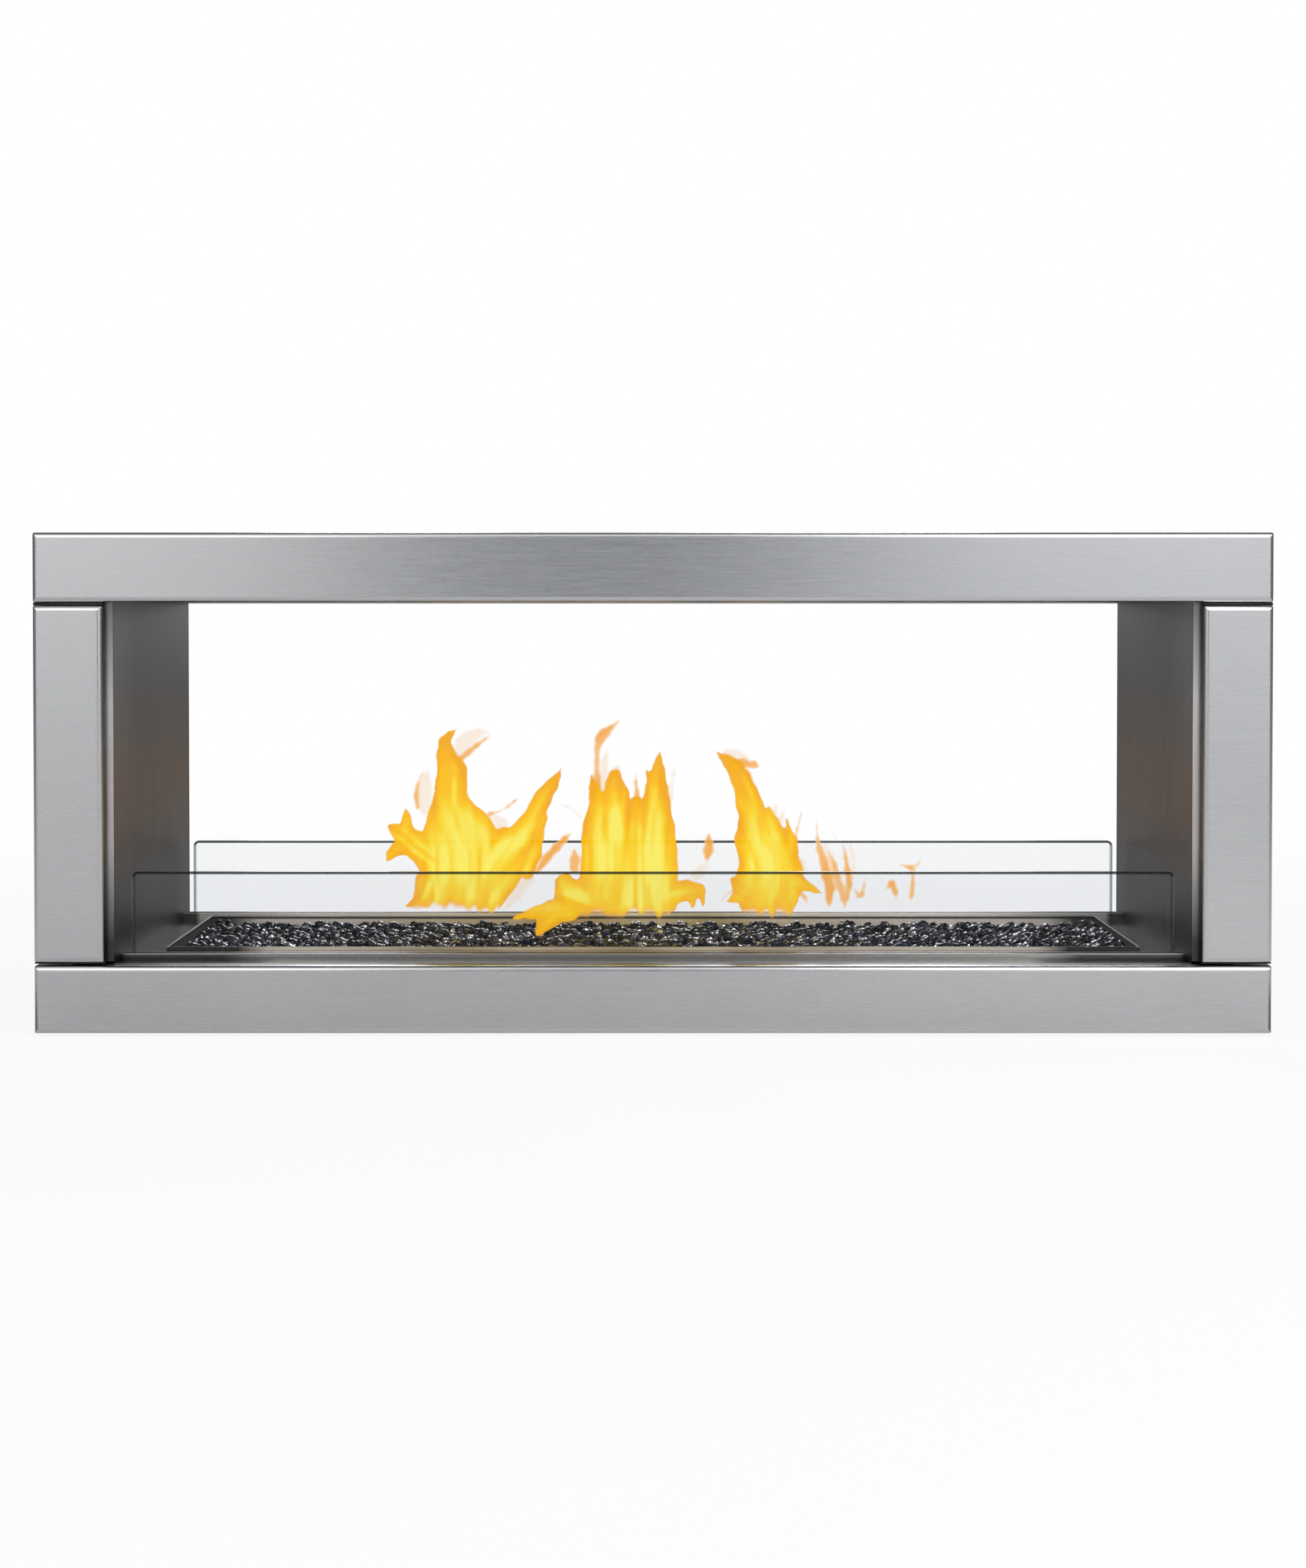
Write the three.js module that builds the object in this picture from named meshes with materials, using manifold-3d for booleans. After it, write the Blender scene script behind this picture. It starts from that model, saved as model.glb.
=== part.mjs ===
// Double-sided linear gas fireplace, open from front to rear.
// Millimetres, +Z up, +X to the right seen from the front, and the front face looks towards -Y.
// The origin is on the ground under the middle of the casing.
import * as THREE from 'three';
import { mergeVertices } from 'three/addons/utils/BufferGeometryUtils.js';
import Module from 'manifold-3d';

const wasm = await Module();
wasm.setup();

// Whole object
const overallWidth = 1340;
const overallDepth = 406;
const fitGap = 0.3;
const cutOverrun = 5;

// Trim frame, the same on both faces
const trimLift = 4;
const bottomRailHeight = 73;
const topRailHeight = 75.5;
const stileHeight = 386.7;
const stileWidth = 76;
const trimJoint = 3.3;
const trimDepth = 38;
const trimInnerReturn = 13;
const trimSheet = 2;

// Outer casing
const casingInset = 30;
const casingSheet = 2;
const casingTopDrop = 10;
const basePanLip = 10;

// Firebox liner
const linerInset = 8;
const linerSheet = 2;
const linerFlange = 14;
const ceilingFlange = 16;
const shieldSheet = 2;
const shieldInset = 4;

// Hearth floor
const floorDrop = 1;
const floorSheet = 2;
const ledgeClearance = 1;

// Glass guards and their channels
const guardSetback = 45;
const guardEndGap = 12.5;
const guardThickness = 6;
const guardRise = 98;
const guardCorner = 6;
const channelSlack = 0.5;
const channelWall = 2;
const channelRise = 8.5;
const channelDepth = 24.5;

// Media tray and what lies in it
const sideBay = 93;
const floorStripWidth = 31;
const trayHeight = 60;
const trayLip = 9;
const traySheet = 2;
const traySupportWidth = 40;
const traySupportEndInset = 145;
const traySupportInset = 11;
const mediaPlateSheet = 1.5;
const mediaPlateDrop = 21;
const mediaSlotLength = 22;
const mediaSlotWidth = 5;
const mediaSlotPitch = 42;
const mediaSlotSpacing = 44;
const mediaDepth = 13;
const mediaLump = 3.5;
const mediaLumpLength = 40;
const mediaCell = 16;

// Burner
const burnerRadius = 12.5;
const burnerWall = 1.5;
const burnerRise = 20;
const burnerEndInset = 45;
const burnerMouth = 25;
const burnerPortLength = 10;
const burnerPortWidth = 3;
const burnerPortPitch = 40;
const cradleEndInset = 165;
const cradleWidth = 44;
const cradlePlate = 3;
const shutterWall = 1.5;
const shutterStandoff = 4;
const shutterOverlap = 22;
const shutterWindowInset = 9;
const shutterWindowLength = 7;
const shutterWindowHeight = 11;
const orificeRadius = 3;
const orificeHexRadius = 7;
const orificeLength = 22;
const orificeInside = 4;
const orificeHexLength = 9;
const holderSize = 16;

// Gas train
const pipeRadius = 8;
const pipeBore = 5.5;
const pipeHeight = 40;
const pipeSetback = 63;
const inletReach = 24;
const inletInside = 18;
const inletHexRadius = 13;
const inletHexLength = 10;
const shutoffLength = 34;
const shutoffGap = 8;
const shutoffSize = 28;
const shutoffStemRadius = 4;
const leverLength = 30;
const leverWidth = 9;
const leverThickness = 3;
const leverSetback = 29;
const valveWidth = 46;
const valveDepth = 56;
const valveBase = 20;
const valveHeight = 36;
const valveEndGap = 13;
const valveBossRadius = 10;
const valveOutletInset = 10;
const valvePanelGap = 4.5;
const valveOutletLength = 6;
const valveOutletRadius = 7;
const manifoldRadius = 5;
const bracketSheet = 2;

// Control panel, knob and igniter
const panelSheet = 2;
const panelEndGap = 7;
const controlHeight = 42;
const collarRadius = 9;
const shaftRadius = 3;
const shaftReach = 12;
const knobTravel = 3;
const knobClear = 1;
const knobSkirtRadius = 15;
const knobSkirt = 4;
const knobLength = 16;
const knobGripWidth = 8;
const knobBore = 12;
const igniterEdge = 16;
const igniterRadius = 10;
const igniterLength = 60;
const buttonRadius = 8;
const buttonCap = 5;
const buttonTravel = 4;
const buttonStemRadius = 4;
const buttonStemInside = 4;

// Pilot
const pilotInset = 31;
const pilotOffset = 58;
const pilotShelfLength = 30;
const pilotShelfDepth = 34;
const pilotShelfHeight = 30;
const pilotSheet = 2;
const pilotSpacing = 9;
const hoodRadius = 4.5;
const hoodHeight = 13;
const hoodWall = 1.2;
const pilotTubeRadius = 2;
const probeRadius = 1.3;
const ceramicRadius = 2.8;
const ceramicLength = 12;
const rodRadius = 1;
const rodRise = 11;
const leadRadius = 1.5;
const leadDrop = 22;
const leadRun = 12;
const pilotPocketMargin = 5;
const pocketRoof = 3;

// Access door
const doorDepth = 22;
const hingeSetback = 7;
const hingeRise = 6;
const hingePinRadius = 1.5;
const hingeEyeRadius = 3.5;
const hingeArmWidth = 30;
const hingeEndInset = 198;
const catchWidth = 34;
const catchHeight = 14;
const catchReach = 31;
const catchEndInset = 338;

// Counts of flat sides on round pieces
const roundSides = 20;
const pipeSides = 12;
const tubeSides = 8;
const tubeSteps = 36;
const cornerSteps = 6;

// Places worked out from the sizes above
const halfWidth = overallWidth / 2;
const faceY = overallDepth / 2;
const backY = faceY - trimDepth;
const bottomRailTop = trimLift + bottomRailHeight;
const stileBottom = bottomRailTop + trimJoint;
const stileTop = stileBottom + stileHeight;
const topRailBottom = stileTop + trimJoint;
const topZ = topRailBottom + topRailHeight;
const openingHalf = halfWidth - stileWidth;
const casingHalf = halfWidth - casingInset;
const casingInner = casingHalf - casingSheet;
const casingTopZ = topZ - casingTopDrop;
const linerHalf = openingHalf - linerInset;
const linerEndY = faceY - trimInnerReturn;
const floorZ = bottomRailTop - floorDrop;
const floorUnder = floorZ - floorSheet;
const ledgeY = faceY - doorDepth - ledgeClearance;
const guardY = faceY - guardSetback;
const channelHalf = guardThickness / 2 + channelSlack + channelWall;
const channelTop = floorZ + channelRise;
const channelInnerZ = channelTop - channelDepth;
const channelUnder = channelInnerZ - channelWall;
const guardHalf = linerHalf - guardEndGap;
const guardBottom = channelInnerZ + fitGap;
const guardTop = floorZ + guardRise;
const trayHalf = casingInner - sideBay;
const trayY = guardY - channelHalf - fitGap - floorStripWidth - fitGap;
const trayTop = floorZ + trayLip;
const trayBottom = trayTop - trayHeight;
const trayFloor = trayBottom + traySheet;
const burnerZ = trayFloor + burnerRise;
const burnerEnd = trayHalf + burnerMouth;
const mediaPlateTop = trayTop - mediaPlateDrop + mediaPlateSheet;
const hingeY = -(faceY - hingeSetback);
const hingeZ = trimLift + hingeRise;
const pipeY = -(faceY - pipeSetback);
const panelFront = -(backY + panelSheet);
const panelBack = -backY;
const panelLeft = trayHalf + panelEndGap;
const valveLeft = trayHalf + valveEndGap;
const valveRight = valveLeft + valveWidth;
const knobX = valveLeft + valveWidth / 2;
const valveFront = panelBack + valvePanelGap;
const valveRear = valveFront + valveDepth;
const igniterX = casingInner - igniterEdge;
const shutterEnd = burnerEnd + shutterStandoff;
const holderLeft = shutterEnd - orificeInside + orificeLength;
const outletX = valveRight - valveOutletInset;
const outletEnd = valveRear + valveOutletLength;
const shutoffRight = valveLeft - shutoffGap;
const pilotX = trayHalf - pilotInset;
const shelfTop = trayFloor + pilotShelfHeight;
const pilotFrontY = pilotOffset - pilotShelfDepth / 2;
const pilotBackY = pilotOffset + pilotShelfDepth / 2;

const brushedSteel = { color: 0xb9bab8, roughness: 0.38, metalness: 0.9 };
const linerSteel = { color: 0x6f6e6a, roughness: 0.5, metalness: 0.85 };
const polishedSteel = { color: 0x8d8a84, roughness: 0.2, metalness: 0.95 };
const galvanised = { color: 0x9a9d9d, roughness: 0.55, metalness: 0.8 };
const clearGlass = { color: 0xdfe9ee, roughness: 0.03, metalness: 0, transparent: true, opacity: 0.3 };
const blackGlass = { color: 0x0c0d10, roughness: 0.08, metalness: 0 };
const brass = { color: 0xb08d4a, roughness: 0.35, metalness: 0.9 };
const blackPlastic = { color: 0x17181a, roughness: 0.45, metalness: 0 };
const castAluminium = { color: 0x8f9193, roughness: 0.5, metalness: 0.8 };
const aluminiumTube = { color: 0xb4b6b8, roughness: 0.3, metalness: 0.9 };
const ceramic = { color: 0xe9e4d8, roughness: 0.4, metalness: 0 };

const fireplace = new THREE.Group();

// Adds one named piece in its own material.
function piece(name, geometry, finish, place = [0, 0, 0]) {
  const mesh = new THREE.Mesh(geometry, new THREE.MeshStandardMaterial(finish));
  mesh.name = name;
  mesh.position.set(...place);
  fireplace.add(mesh);
}

// A closed geometry as a solid that can be joined and cut.
function solid(geometry) {
  const bare = geometry.clone();
  bare.deleteAttribute('normal');
  bare.deleteAttribute('uv');
  const merged = mergeVertices(bare);
  const vertProperties = new Float32Array(merged.attributes.position.array);
  const triVerts = new Uint32Array(merged.index.array);
  return new wasm.Manifold(new wasm.Mesh({ numProp: 3, vertProperties, triVerts }));
}

// A solid back as a geometry.
function shape(body) {
  const mesh = body.getMesh();
  const geometry = new THREE.BufferGeometry();
  geometry.setAttribute('position', new THREE.BufferAttribute(mesh.vertProperties, 3));
  geometry.setIndex(new THREE.BufferAttribute(mesh.triVerts, 1));
  const flat = geometry.toNonIndexed();
  flat.computeVertexNormals();
  return flat;
}

function join(first, ...others) {
  return shape(others.reduce((sum, next) => sum.add(solid(next)), solid(first)));
}

function cut(first, ...tools) {
  return shape(tools.reduce((rest, tool) => rest.subtract(solid(tool)), solid(first)));
}

// A block between two limits on each axis, given in either order.
function block(xa, xb, ya, yb, za, zb) {
  const geometry = new THREE.BoxGeometry(Math.abs(xb - xa), Math.abs(yb - ya), Math.abs(zb - za));
  geometry.translate((xa + xb) / 2, (ya + yb) / 2, (za + zb) / 2);
  return geometry;
}

function outlineOf(points) {
  return new THREE.Shape(points.map(([a, b]) => new THREE.Vector2(a, b)));
}

// A section given as [y, z] points, run along X.
function barAlongX(points, xa, xb) {
  const depth = xb - xa;
  const geometry = new THREE.ExtrudeGeometry(outlineOf(points), { depth, bevelEnabled: false });
  geometry.applyMatrix4(new THREE.Matrix4().set(0, 0, 1, xa, 1, 0, 0, 0, 0, 1, 0, 0, 0, 0, 0, 1));
  return geometry;
}

// A section given as [x, y] points, run along Z.
function barAlongZ(points, za, zb) {
  const depth = zb - za;
  const geometry = new THREE.ExtrudeGeometry(outlineOf(points), { depth, bevelEnabled: false });
  geometry.translate(0, 0, za);
  return geometry;
}

// A section given as [x, z] points, run along Y.
function barAlongY(points, ya, yb) {
  const depth = yb - ya;
  const geometry = new THREE.ExtrudeGeometry(outlineOf(points), { depth, bevelEnabled: false });
  geometry.applyMatrix4(new THREE.Matrix4().set(1, 0, 0, 0, 0, 0, -1, yb, 0, 1, 0, 0, 0, 0, 0, 1));
  return geometry;
}

// A turned piece from [radius, distance] points, with its axis along 'x', 'y' or 'z'.
function turned(points, axis, sides = roundSides) {
  const profile = points.map(([radius, along]) => new THREE.Vector2(radius, along));
  const geometry = new THREE.LatheGeometry(profile, sides);
  if (axis === 'x') {
    geometry.applyMatrix4(new THREE.Matrix4().set(0, 1, 0, 0, 0, 0, 1, 0, 1, 0, 0, 0, 0, 0, 0, 1));
  }
  if (axis === 'z') {
    geometry.applyMatrix4(new THREE.Matrix4().set(0, 0, 1, 0, 1, 0, 0, 0, 0, 1, 0, 0, 0, 0, 0, 1));
  }
  return geometry;
}

// A plain round bar between two distances along its axis.
function roundBar(radius, from, to, axis, sides = roundSides) {
  return turned([[0, from], [radius, from], [radius, to], [0, to]], axis, sides);
}

// A round bar moved to its place.
function roundBarAt(radius, from, to, axis, place, sides = roundSides) {
  const geometry = roundBar(radius, from, to, axis, sides);
  geometry.translate(...place);
  return geometry;
}

// A round tube or wire along a smooth path through the points.
function tubeAlong(points, radius, steps = tubeSteps) {
  const stops = points.map((point) => new THREE.Vector3(...point));
  const path = new THREE.CatmullRomCurve3(stops, false, 'centripetal');
  const ring = [];
  for (let i = 0; i < tubeSides; i += 1) {
    const angle = (i / tubeSides) * Math.PI * 2;
    ring.push([radius * Math.cos(angle), radius * Math.sin(angle)]);
  }
  return new THREE.ExtrudeGeometry(outlineOf(ring), { steps, extrudePath: path, bevelEnabled: false });
}

// A folded trim piece: a face sheet with a return on each side that has a depth above zero.
function trimShell(xa, xb, za, zb, side, returns) {
  const outer = side * faceY;
  const plates = [];
  const legTo = (depth) => side * (faceY - depth);
  if (returns.left > 0) plates.push(block(xa, xa + trimSheet, outer, legTo(returns.left), za, zb));
  if (returns.right > 0) plates.push(block(xb - trimSheet, xb, outer, legTo(returns.right), za, zb));
  if (returns.top > 0) plates.push(block(xa, xb, outer, legTo(returns.top), zb - trimSheet, zb));
  if (returns.bottom > 0) plates.push(block(xa, xb, outer, legTo(returns.bottom), za, za + trimSheet));
  return join(block(xa, xb, outer, legTo(trimSheet), za, zb), ...plates);
}

function topTrim(name, side) {
  const returns = { left: trimDepth, right: trimDepth, top: trimDepth, bottom: trimInnerReturn };
  piece(name, trimShell(-halfWidth, halfWidth, topRailBottom, topZ, side, returns), brushedSteel);
}

function stileTrim(name, side, hand) {
  const inner = hand * openingHalf;
  const outer = hand * halfWidth;
  const returns = {
    left: hand > 0 ? trimInnerReturn : trimDepth,
    right: hand > 0 ? trimDepth : trimInnerReturn,
    top: trimInnerReturn,
    bottom: trimInnerReturn,
  };
  const low = Math.min(inner, outer);
  const high = Math.max(inner, outer);
  piece(name, trimShell(low, high, stileBottom, stileTop, side, returns), brushedSteel);
}

function bottomTrim(name, side) {
  const returns = { left: trimDepth, right: trimDepth, top: doorDepth, bottom: trimDepth };
  piece(name, trimShell(-halfWidth, halfWidth, trimLift, bottomRailTop, side, returns), brushedSteel);
}

// The drop-down door has no lower return, and its ends carry the holes for the hinge pin.
function accessDoor() {
  const returns = { left: doorDepth, right: doorDepth, top: doorDepth, bottom: 0 };
  const shell = trimShell(-halfWidth, halfWidth, trimLift, bottomRailTop, -1, returns);
  const reach = halfWidth + cutOverrun;
  const hole = roundBarAt(hingePinRadius + fitGap, -reach, reach, 'x', [0, hingeY, hingeZ], pipeSides);
  piece('front_access_door', cut(shell, hole), brushedSteel);
}

function hinge() {
  const ends = halfWidth;
  const pin = roundBarAt(hingePinRadius, -ends, ends, 'x', [0, hingeY, hingeZ], pipeSides);
  piece('door_hinge_pin', pin, brushedSteel);
  for (const [name, hand] of [['left_hinge_bracket', -1], ['right_hinge_bracket', 1]]) {
    const from = hand * (casingInner - hingeEndInset) - hingeArmWidth / 2;
    const to = from + hingeArmWidth;
    const eye = roundBarAt(hingeEyeRadius, from, to, 'x', [0, hingeY, hingeZ], pipeSides);
    const arm = block(from, to, hingeY, -backY, hingeZ - hingeEyeRadius, hingeZ);
    const bore = roundBarAt(
      hingePinRadius + fitGap, from - cutOverrun, to + cutOverrun, 'x', [0, hingeY, hingeZ], pipeSides,
    );
    piece(name, cut(join(eye, arm), bore), galvanised);
  }
}

function doorCatches() {
  const front = -(faceY - trimSheet - fitGap);
  for (const [name, hand] of [['left_door_catch', -1], ['right_door_catch', 1]]) {
    const low = hand * (casingInner - catchEndInset) - catchWidth / 2;
    piece(
      name,
      block(low, low + catchWidth, front, front + catchReach, floorUnder - catchHeight, floorUnder),
      blackPlastic,
    );
  }
}

// Base pan and casing top are sheets with a lip turned up along the front and the rear.
function lippedSheet(halfLength, za, lipTop, sheet, halfDepth) {
  const section = [
    [-halfDepth, za], [halfDepth, za], [halfDepth, lipTop], [halfDepth - sheet, lipTop],
    [halfDepth - sheet, za + sheet], [-halfDepth + sheet, za + sheet],
    [-halfDepth + sheet, lipTop], [-halfDepth, lipTop],
  ];
  return barAlongX(section, -halfLength, halfLength);
}

// A casing side with a nailing flange turned outwards at the front and the rear.
function casingSide(name, hand) {
  const inner = hand * casingInner;
  const outer = hand * casingHalf;
  const rim = hand * halfWidth;
  const section = [
    [inner, -backY], [rim, -backY], [rim, -backY + casingSheet], [outer, -backY + casingSheet],
    [outer, backY - casingSheet], [rim, backY - casingSheet], [rim, backY], [inner, backY],
  ];
  const ordered = hand > 0 ? section : section.reverse();
  const panel = barAlongZ(ordered, 0, casingTopZ - casingSheet);
  if (hand > 0) {
    piece(name, panel, galvanised);
    return;
  }
  const reach = casingHalf + cutOverrun;
  const hole = roundBarAt(
    pipeRadius + fitGap, -reach, -casingInner + cutOverrun, 'x', [0, pipeY, pipeHeight], pipeSides,
  );
  piece(name, cut(panel, hole), galvanised);
}

function casing() {
  const panTop = casingSheet + basePanLip;
  piece('base_pan', lippedSheet(casingInner, 0, panTop, casingSheet, backY), galvanised);
  casingSide('left_casing_side', -1);
  casingSide('right_casing_side', 1);
  const lid = lippedSheet(casingHalf, casingTopZ - casingSheet, topZ, casingSheet, backY);
  piece('casing_top', lid, galvanised);
}

// A liner wall is one sheet with a flange turned outwards at each end. The flanges stop above the rails.
function linerWall(name, hand) {
  const inner = hand * linerHalf;
  const back = hand * (linerHalf + linerSheet);
  const rim = hand * (linerHalf + linerFlange);
  const section = [
    [inner, -linerEndY], [rim, -linerEndY], [rim, -linerEndY + linerSheet], [back, -linerEndY + linerSheet],
    [back, linerEndY - linerSheet], [rim, linerEndY - linerSheet], [rim, linerEndY], [inner, linerEndY],
  ];
  const ordered = hand > 0 ? section : section.reverse();
  const wall = barAlongZ(ordered, floorZ, topRailBottom);
  const side = hand * (linerHalf - cutOverrun);
  const past = hand * (linerHalf + linerFlange + cutOverrun);
  const notches = [-1, 1].map((end) => block(
    side, past, end * (linerEndY + cutOverrun), end * (ledgeY - ledgeClearance),
    floorZ - cutOverrun, stileBottom,
  ));
  piece(name, cut(wall, ...notches), linerSteel);
}

function ceiling() {
  const half = linerHalf + linerFlange;
  const flangeTop = topRailBottom + linerSheet + ceilingFlange;
  piece('ceiling_liner', lippedSheet(half, topRailBottom, flangeTop, linerSheet, linerEndY), linerSteel);
  const shieldY = linerEndY - linerSheet / 2;
  const shieldHalf = half - shieldInset;
  const shield = block(-shieldHalf, shieldHalf, -shieldY, shieldY, flangeTop, flangeTop + shieldSheet);
  piece('ceiling_heat_shield', shield, galvanised);
}

function hearthFloor() {
  const channelOuter = guardY + channelHalf + fitGap;
  const channelInner = guardY - channelHalf - fitGap;
  const stripInner = trayY + fitGap;
  for (const [name, side] of [['front', -1], ['rear', 1]]) {
    const ledge = block(-casingInner, casingInner, side * ledgeY, side * channelOuter, floorUnder, floorZ);
    piece(`${name}_hearth_ledge`, ledge, polishedSteel);
    const stripFrom = side * channelInner;
    const stripTo = side * stripInner;
    const strip = block(-casingInner, casingInner, stripFrom, stripTo, floorUnder, floorZ);
    piece(`${name}_floor_strip`, strip, polishedSteel);
  }
  for (const [name, hand] of [['left', -1], ['right', 1]]) {
    const plate = block(hand * (trayHalf + fitGap), hand * casingInner, -trayY, trayY, floorUnder, floorZ);
    piece(`${name}_floor_plate`, plate, polishedSteel);
  }
}

function glassChannel(name, side) {
  const middle = side * guardY;
  const inner = channelHalf - channelWall;
  const section = [
    [middle - channelHalf, channelUnder], [middle + channelHalf, channelUnder],
    [middle + channelHalf, channelTop], [middle + inner, channelTop],
    [middle + inner, channelInnerZ], [middle - inner, channelInnerZ],
    [middle - inner, channelTop], [middle - channelHalf, channelTop],
  ];
  piece(name, barAlongX(section, -linerHalf + fitGap, linerHalf - fitGap), polishedSteel);
}

// A clear pane with two rounded upper corners.
function glassGuard(name, side) {
  const points = [[-guardHalf, guardBottom], [guardHalf, guardBottom]];
  for (const hand of [1, -1]) {
    for (let i = 0; i <= cornerSteps; i += 1) {
      const share = hand > 0 ? i / cornerSteps : 1 - i / cornerSteps;
      const angle = (share * Math.PI) / 2;
      points.push([
        hand * (guardHalf - guardCorner + guardCorner * Math.cos(angle)),
        guardTop - guardCorner + guardCorner * Math.sin(angle),
      ]);
    }
  }
  const middle = side * guardY;
  piece(name, barAlongY(points, middle - guardThickness / 2, middle + guardThickness / 2), clearGlass);
}

function mediaTray() {
  const outer = block(-trayHalf, trayHalf, -trayY, trayY, trayBottom, trayTop);
  const hollow = block(
    -trayHalf + traySheet, trayHalf - traySheet, -trayY + traySheet, trayY - traySheet,
    trayFloor, trayTop + cutOverrun,
  );
  const burnerHole = roundBarAt(
    burnerRadius + fitGap, trayHalf - traySheet - cutOverrun, trayHalf + cutOverrun, 'x', [0, 0, burnerZ],
  );
  const pilotSlot = block(
    trayHalf - traySheet - cutOverrun, trayHalf + cutOverrun, pilotFrontY, pilotBackY,
    trayFloor + pilotTubeRadius, trayFloor + leadRun,
  );
  piece('media_tray', cut(outer, hollow, burnerHole, pilotSlot), linerSteel);
}

function traySupports() {
  const reach = trayY - traySupportInset;
  for (const [name, hand] of [['left_tray_support', -1], ['right_tray_support', 1]]) {
    const low = hand * (trayHalf - traySupportEndInset) - traySupportWidth / 2;
    const high = low + traySupportWidth;
    const section = [
      [low, casingSheet], [low + casingSheet, casingSheet], [low + casingSheet, trayBottom - casingSheet],
      [high - casingSheet, trayBottom - casingSheet], [high - casingSheet, casingSheet],
      [high, casingSheet], [high, trayBottom], [low, trayBottom],
    ];
    piece(name, barAlongY(section, -reach, reach), galvanised);
  }
}

// The pocket over the pilot, cut out of the plate and of the media above it.
function pilotPocket(za, zb) {
  return block(
    pilotX - pilotShelfLength / 2 - pilotPocketMargin, trayHalf + cutOverrun,
    pilotFrontY - pilotPocketMargin, pilotBackY + pilotPocketMargin, za, zb,
  );
}

// The perforated plate that carries the media, with rows of slots over the burner.
function mediaPlate() {
  const half = trayHalf - traySheet - fitGap;
  const halfY = trayY - traySheet - fitGap;
  const under = mediaPlateTop - mediaPlateSheet;
  const tools = [pilotPocket(under - cutOverrun, mediaPlateTop + cutOverrun)];
  const count = Math.floor((half - burnerEndInset) / mediaSlotPitch);
  for (let i = -count; i <= count; i += 1) {
    for (const row of [-1, 1]) {
      const x = i * mediaSlotPitch;
      const y = (row * mediaSlotSpacing) / 2;
      const clearOfPilot = x + mediaSlotLength < pilotX - pilotShelfLength / 2 - pilotPocketMargin;
      if (row < 0 || clearOfPilot) {
        tools.push(block(
          x - mediaSlotLength / 2, x + mediaSlotLength / 2, y - mediaSlotWidth / 2, y + mediaSlotWidth / 2,
          under - cutOverrun, mediaPlateTop + cutOverrun,
        ));
      }
    }
  }
  const plate = block(-half, half, -halfY, halfY, under, mediaPlateTop);
  piece('media_plate', cut(plate, ...tools), linerSteel);
}

// The bed of loose glass: a slab whose top is a grid of rounded lumps, level along its rim.
function mediaBed() {
  const half = trayHalf - traySheet - fitGap;
  const halfY = trayY - traySheet - fitGap;
  const cells = (length) => Math.round(length / mediaCell);
  const slab = new THREE.BoxGeometry(
    2 * half, 2 * halfY, mediaDepth, cells(2 * half), cells(2 * halfY), 1,
  );
  slab.translate(0, 0, mediaPlateTop + mediaDepth / 2);
  const place = slab.attributes.position;
  const wave = (2 * Math.PI) / mediaLumpLength;
  for (let i = 0; i < place.count; i += 1) {
    const x = place.getX(i);
    const y = place.getY(i);
    if (place.getZ(i) > mediaPlateTop + mediaDepth / 2) {
      const rim = (1 - (y / halfY) ** 8) * (1 - (x / half) ** 32);
      const lumps = (Math.sin(x * wave) * Math.cos(y * wave) + Math.sin((x + y) * wave * 0.61)) / 2;
      place.setZ(i, mediaPlateTop + mediaDepth + mediaLump * rim * lumps);
    }
  }
  const pocket = pilotPocket(mediaPlateTop - cutOverrun, mediaPlateTop + mediaDepth - mediaLump - pocketRoof);
  piece('glass_media_bed', cut(slab, pocket), blackGlass);
}

// The burner is a tube closed at its left end, with ports along its top and two air windows at its mouth.
function burner() {
  const start = -(trayHalf - burnerEndInset);
  const inner = burnerRadius - burnerWall;
  const tube = turned([
    [0, start], [burnerRadius, start], [burnerRadius, burnerEnd],
    [inner, burnerEnd], [inner, start + burnerWall], [0, start + burnerWall],
  ], 'x');
  tube.translate(0, 0, burnerZ);
  const ports = [];
  for (let x = start + burnerPortPitch; x < trayHalf - burnerEndInset; x += burnerPortPitch) {
    ports.push(block(
      x - burnerPortLength / 2, x + burnerPortLength / 2, -burnerPortWidth / 2, burnerPortWidth / 2,
      burnerZ, burnerZ + burnerRadius + cutOverrun,
    ));
  }
  piece('burner_tube', cut(tube, ...ports, airWindow(burnerZ)), brushedSteel);
}

// The two opposite air windows, shared by the burner mouth and the shutter round it.
function airWindow(z) {
  const middle = burnerEnd - shutterWindowInset;
  const reach = burnerRadius + shutterWall + cutOverrun;
  return block(
    middle - shutterWindowLength / 2, middle + shutterWindowLength / 2, -reach, reach,
    z - shutterWindowHeight / 2, z + shutterWindowHeight / 2,
  );
}

// The shutter is a cap that turns on the burner mouth, with a hole for the orifice.
function airShutter() {
  const bore = burnerRadius + fitGap;
  const outer = bore + shutterWall;
  const eye = orificeRadius + fitGap;
  const from = shutterEnd - shutterOverlap;
  const sleeve = turned([
    [bore, from], [outer, from], [outer, shutterEnd], [eye, shutterEnd],
    [eye, shutterEnd - shutterWall], [bore, shutterEnd - shutterWall], [bore, from],
  ], 'x');
  piece('air_shutter', cut(sleeve, airWindow(0)), brushedSteel, [0, 0, burnerZ]);
}

function cradles() {
  const reach = burnerRadius + fitGap;
  for (const [name, hand] of [['left_burner_cradle', -1], ['right_burner_cradle', 1]]) {
    const middle = hand * (trayHalf - cradleEndInset);
    const plate = block(
      middle - cradlePlate / 2, middle + cradlePlate / 2, -cradleWidth / 2, cradleWidth / 2,
      trayFloor, burnerZ,
    );
    const seat = roundBarAt(reach, middle - cradlePlate - cutOverrun, middle + cradlePlate + cutOverrun,
      'x', [0, 0, burnerZ]);
    piece(name, cut(plate, seat), galvanised);
  }
}

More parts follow.
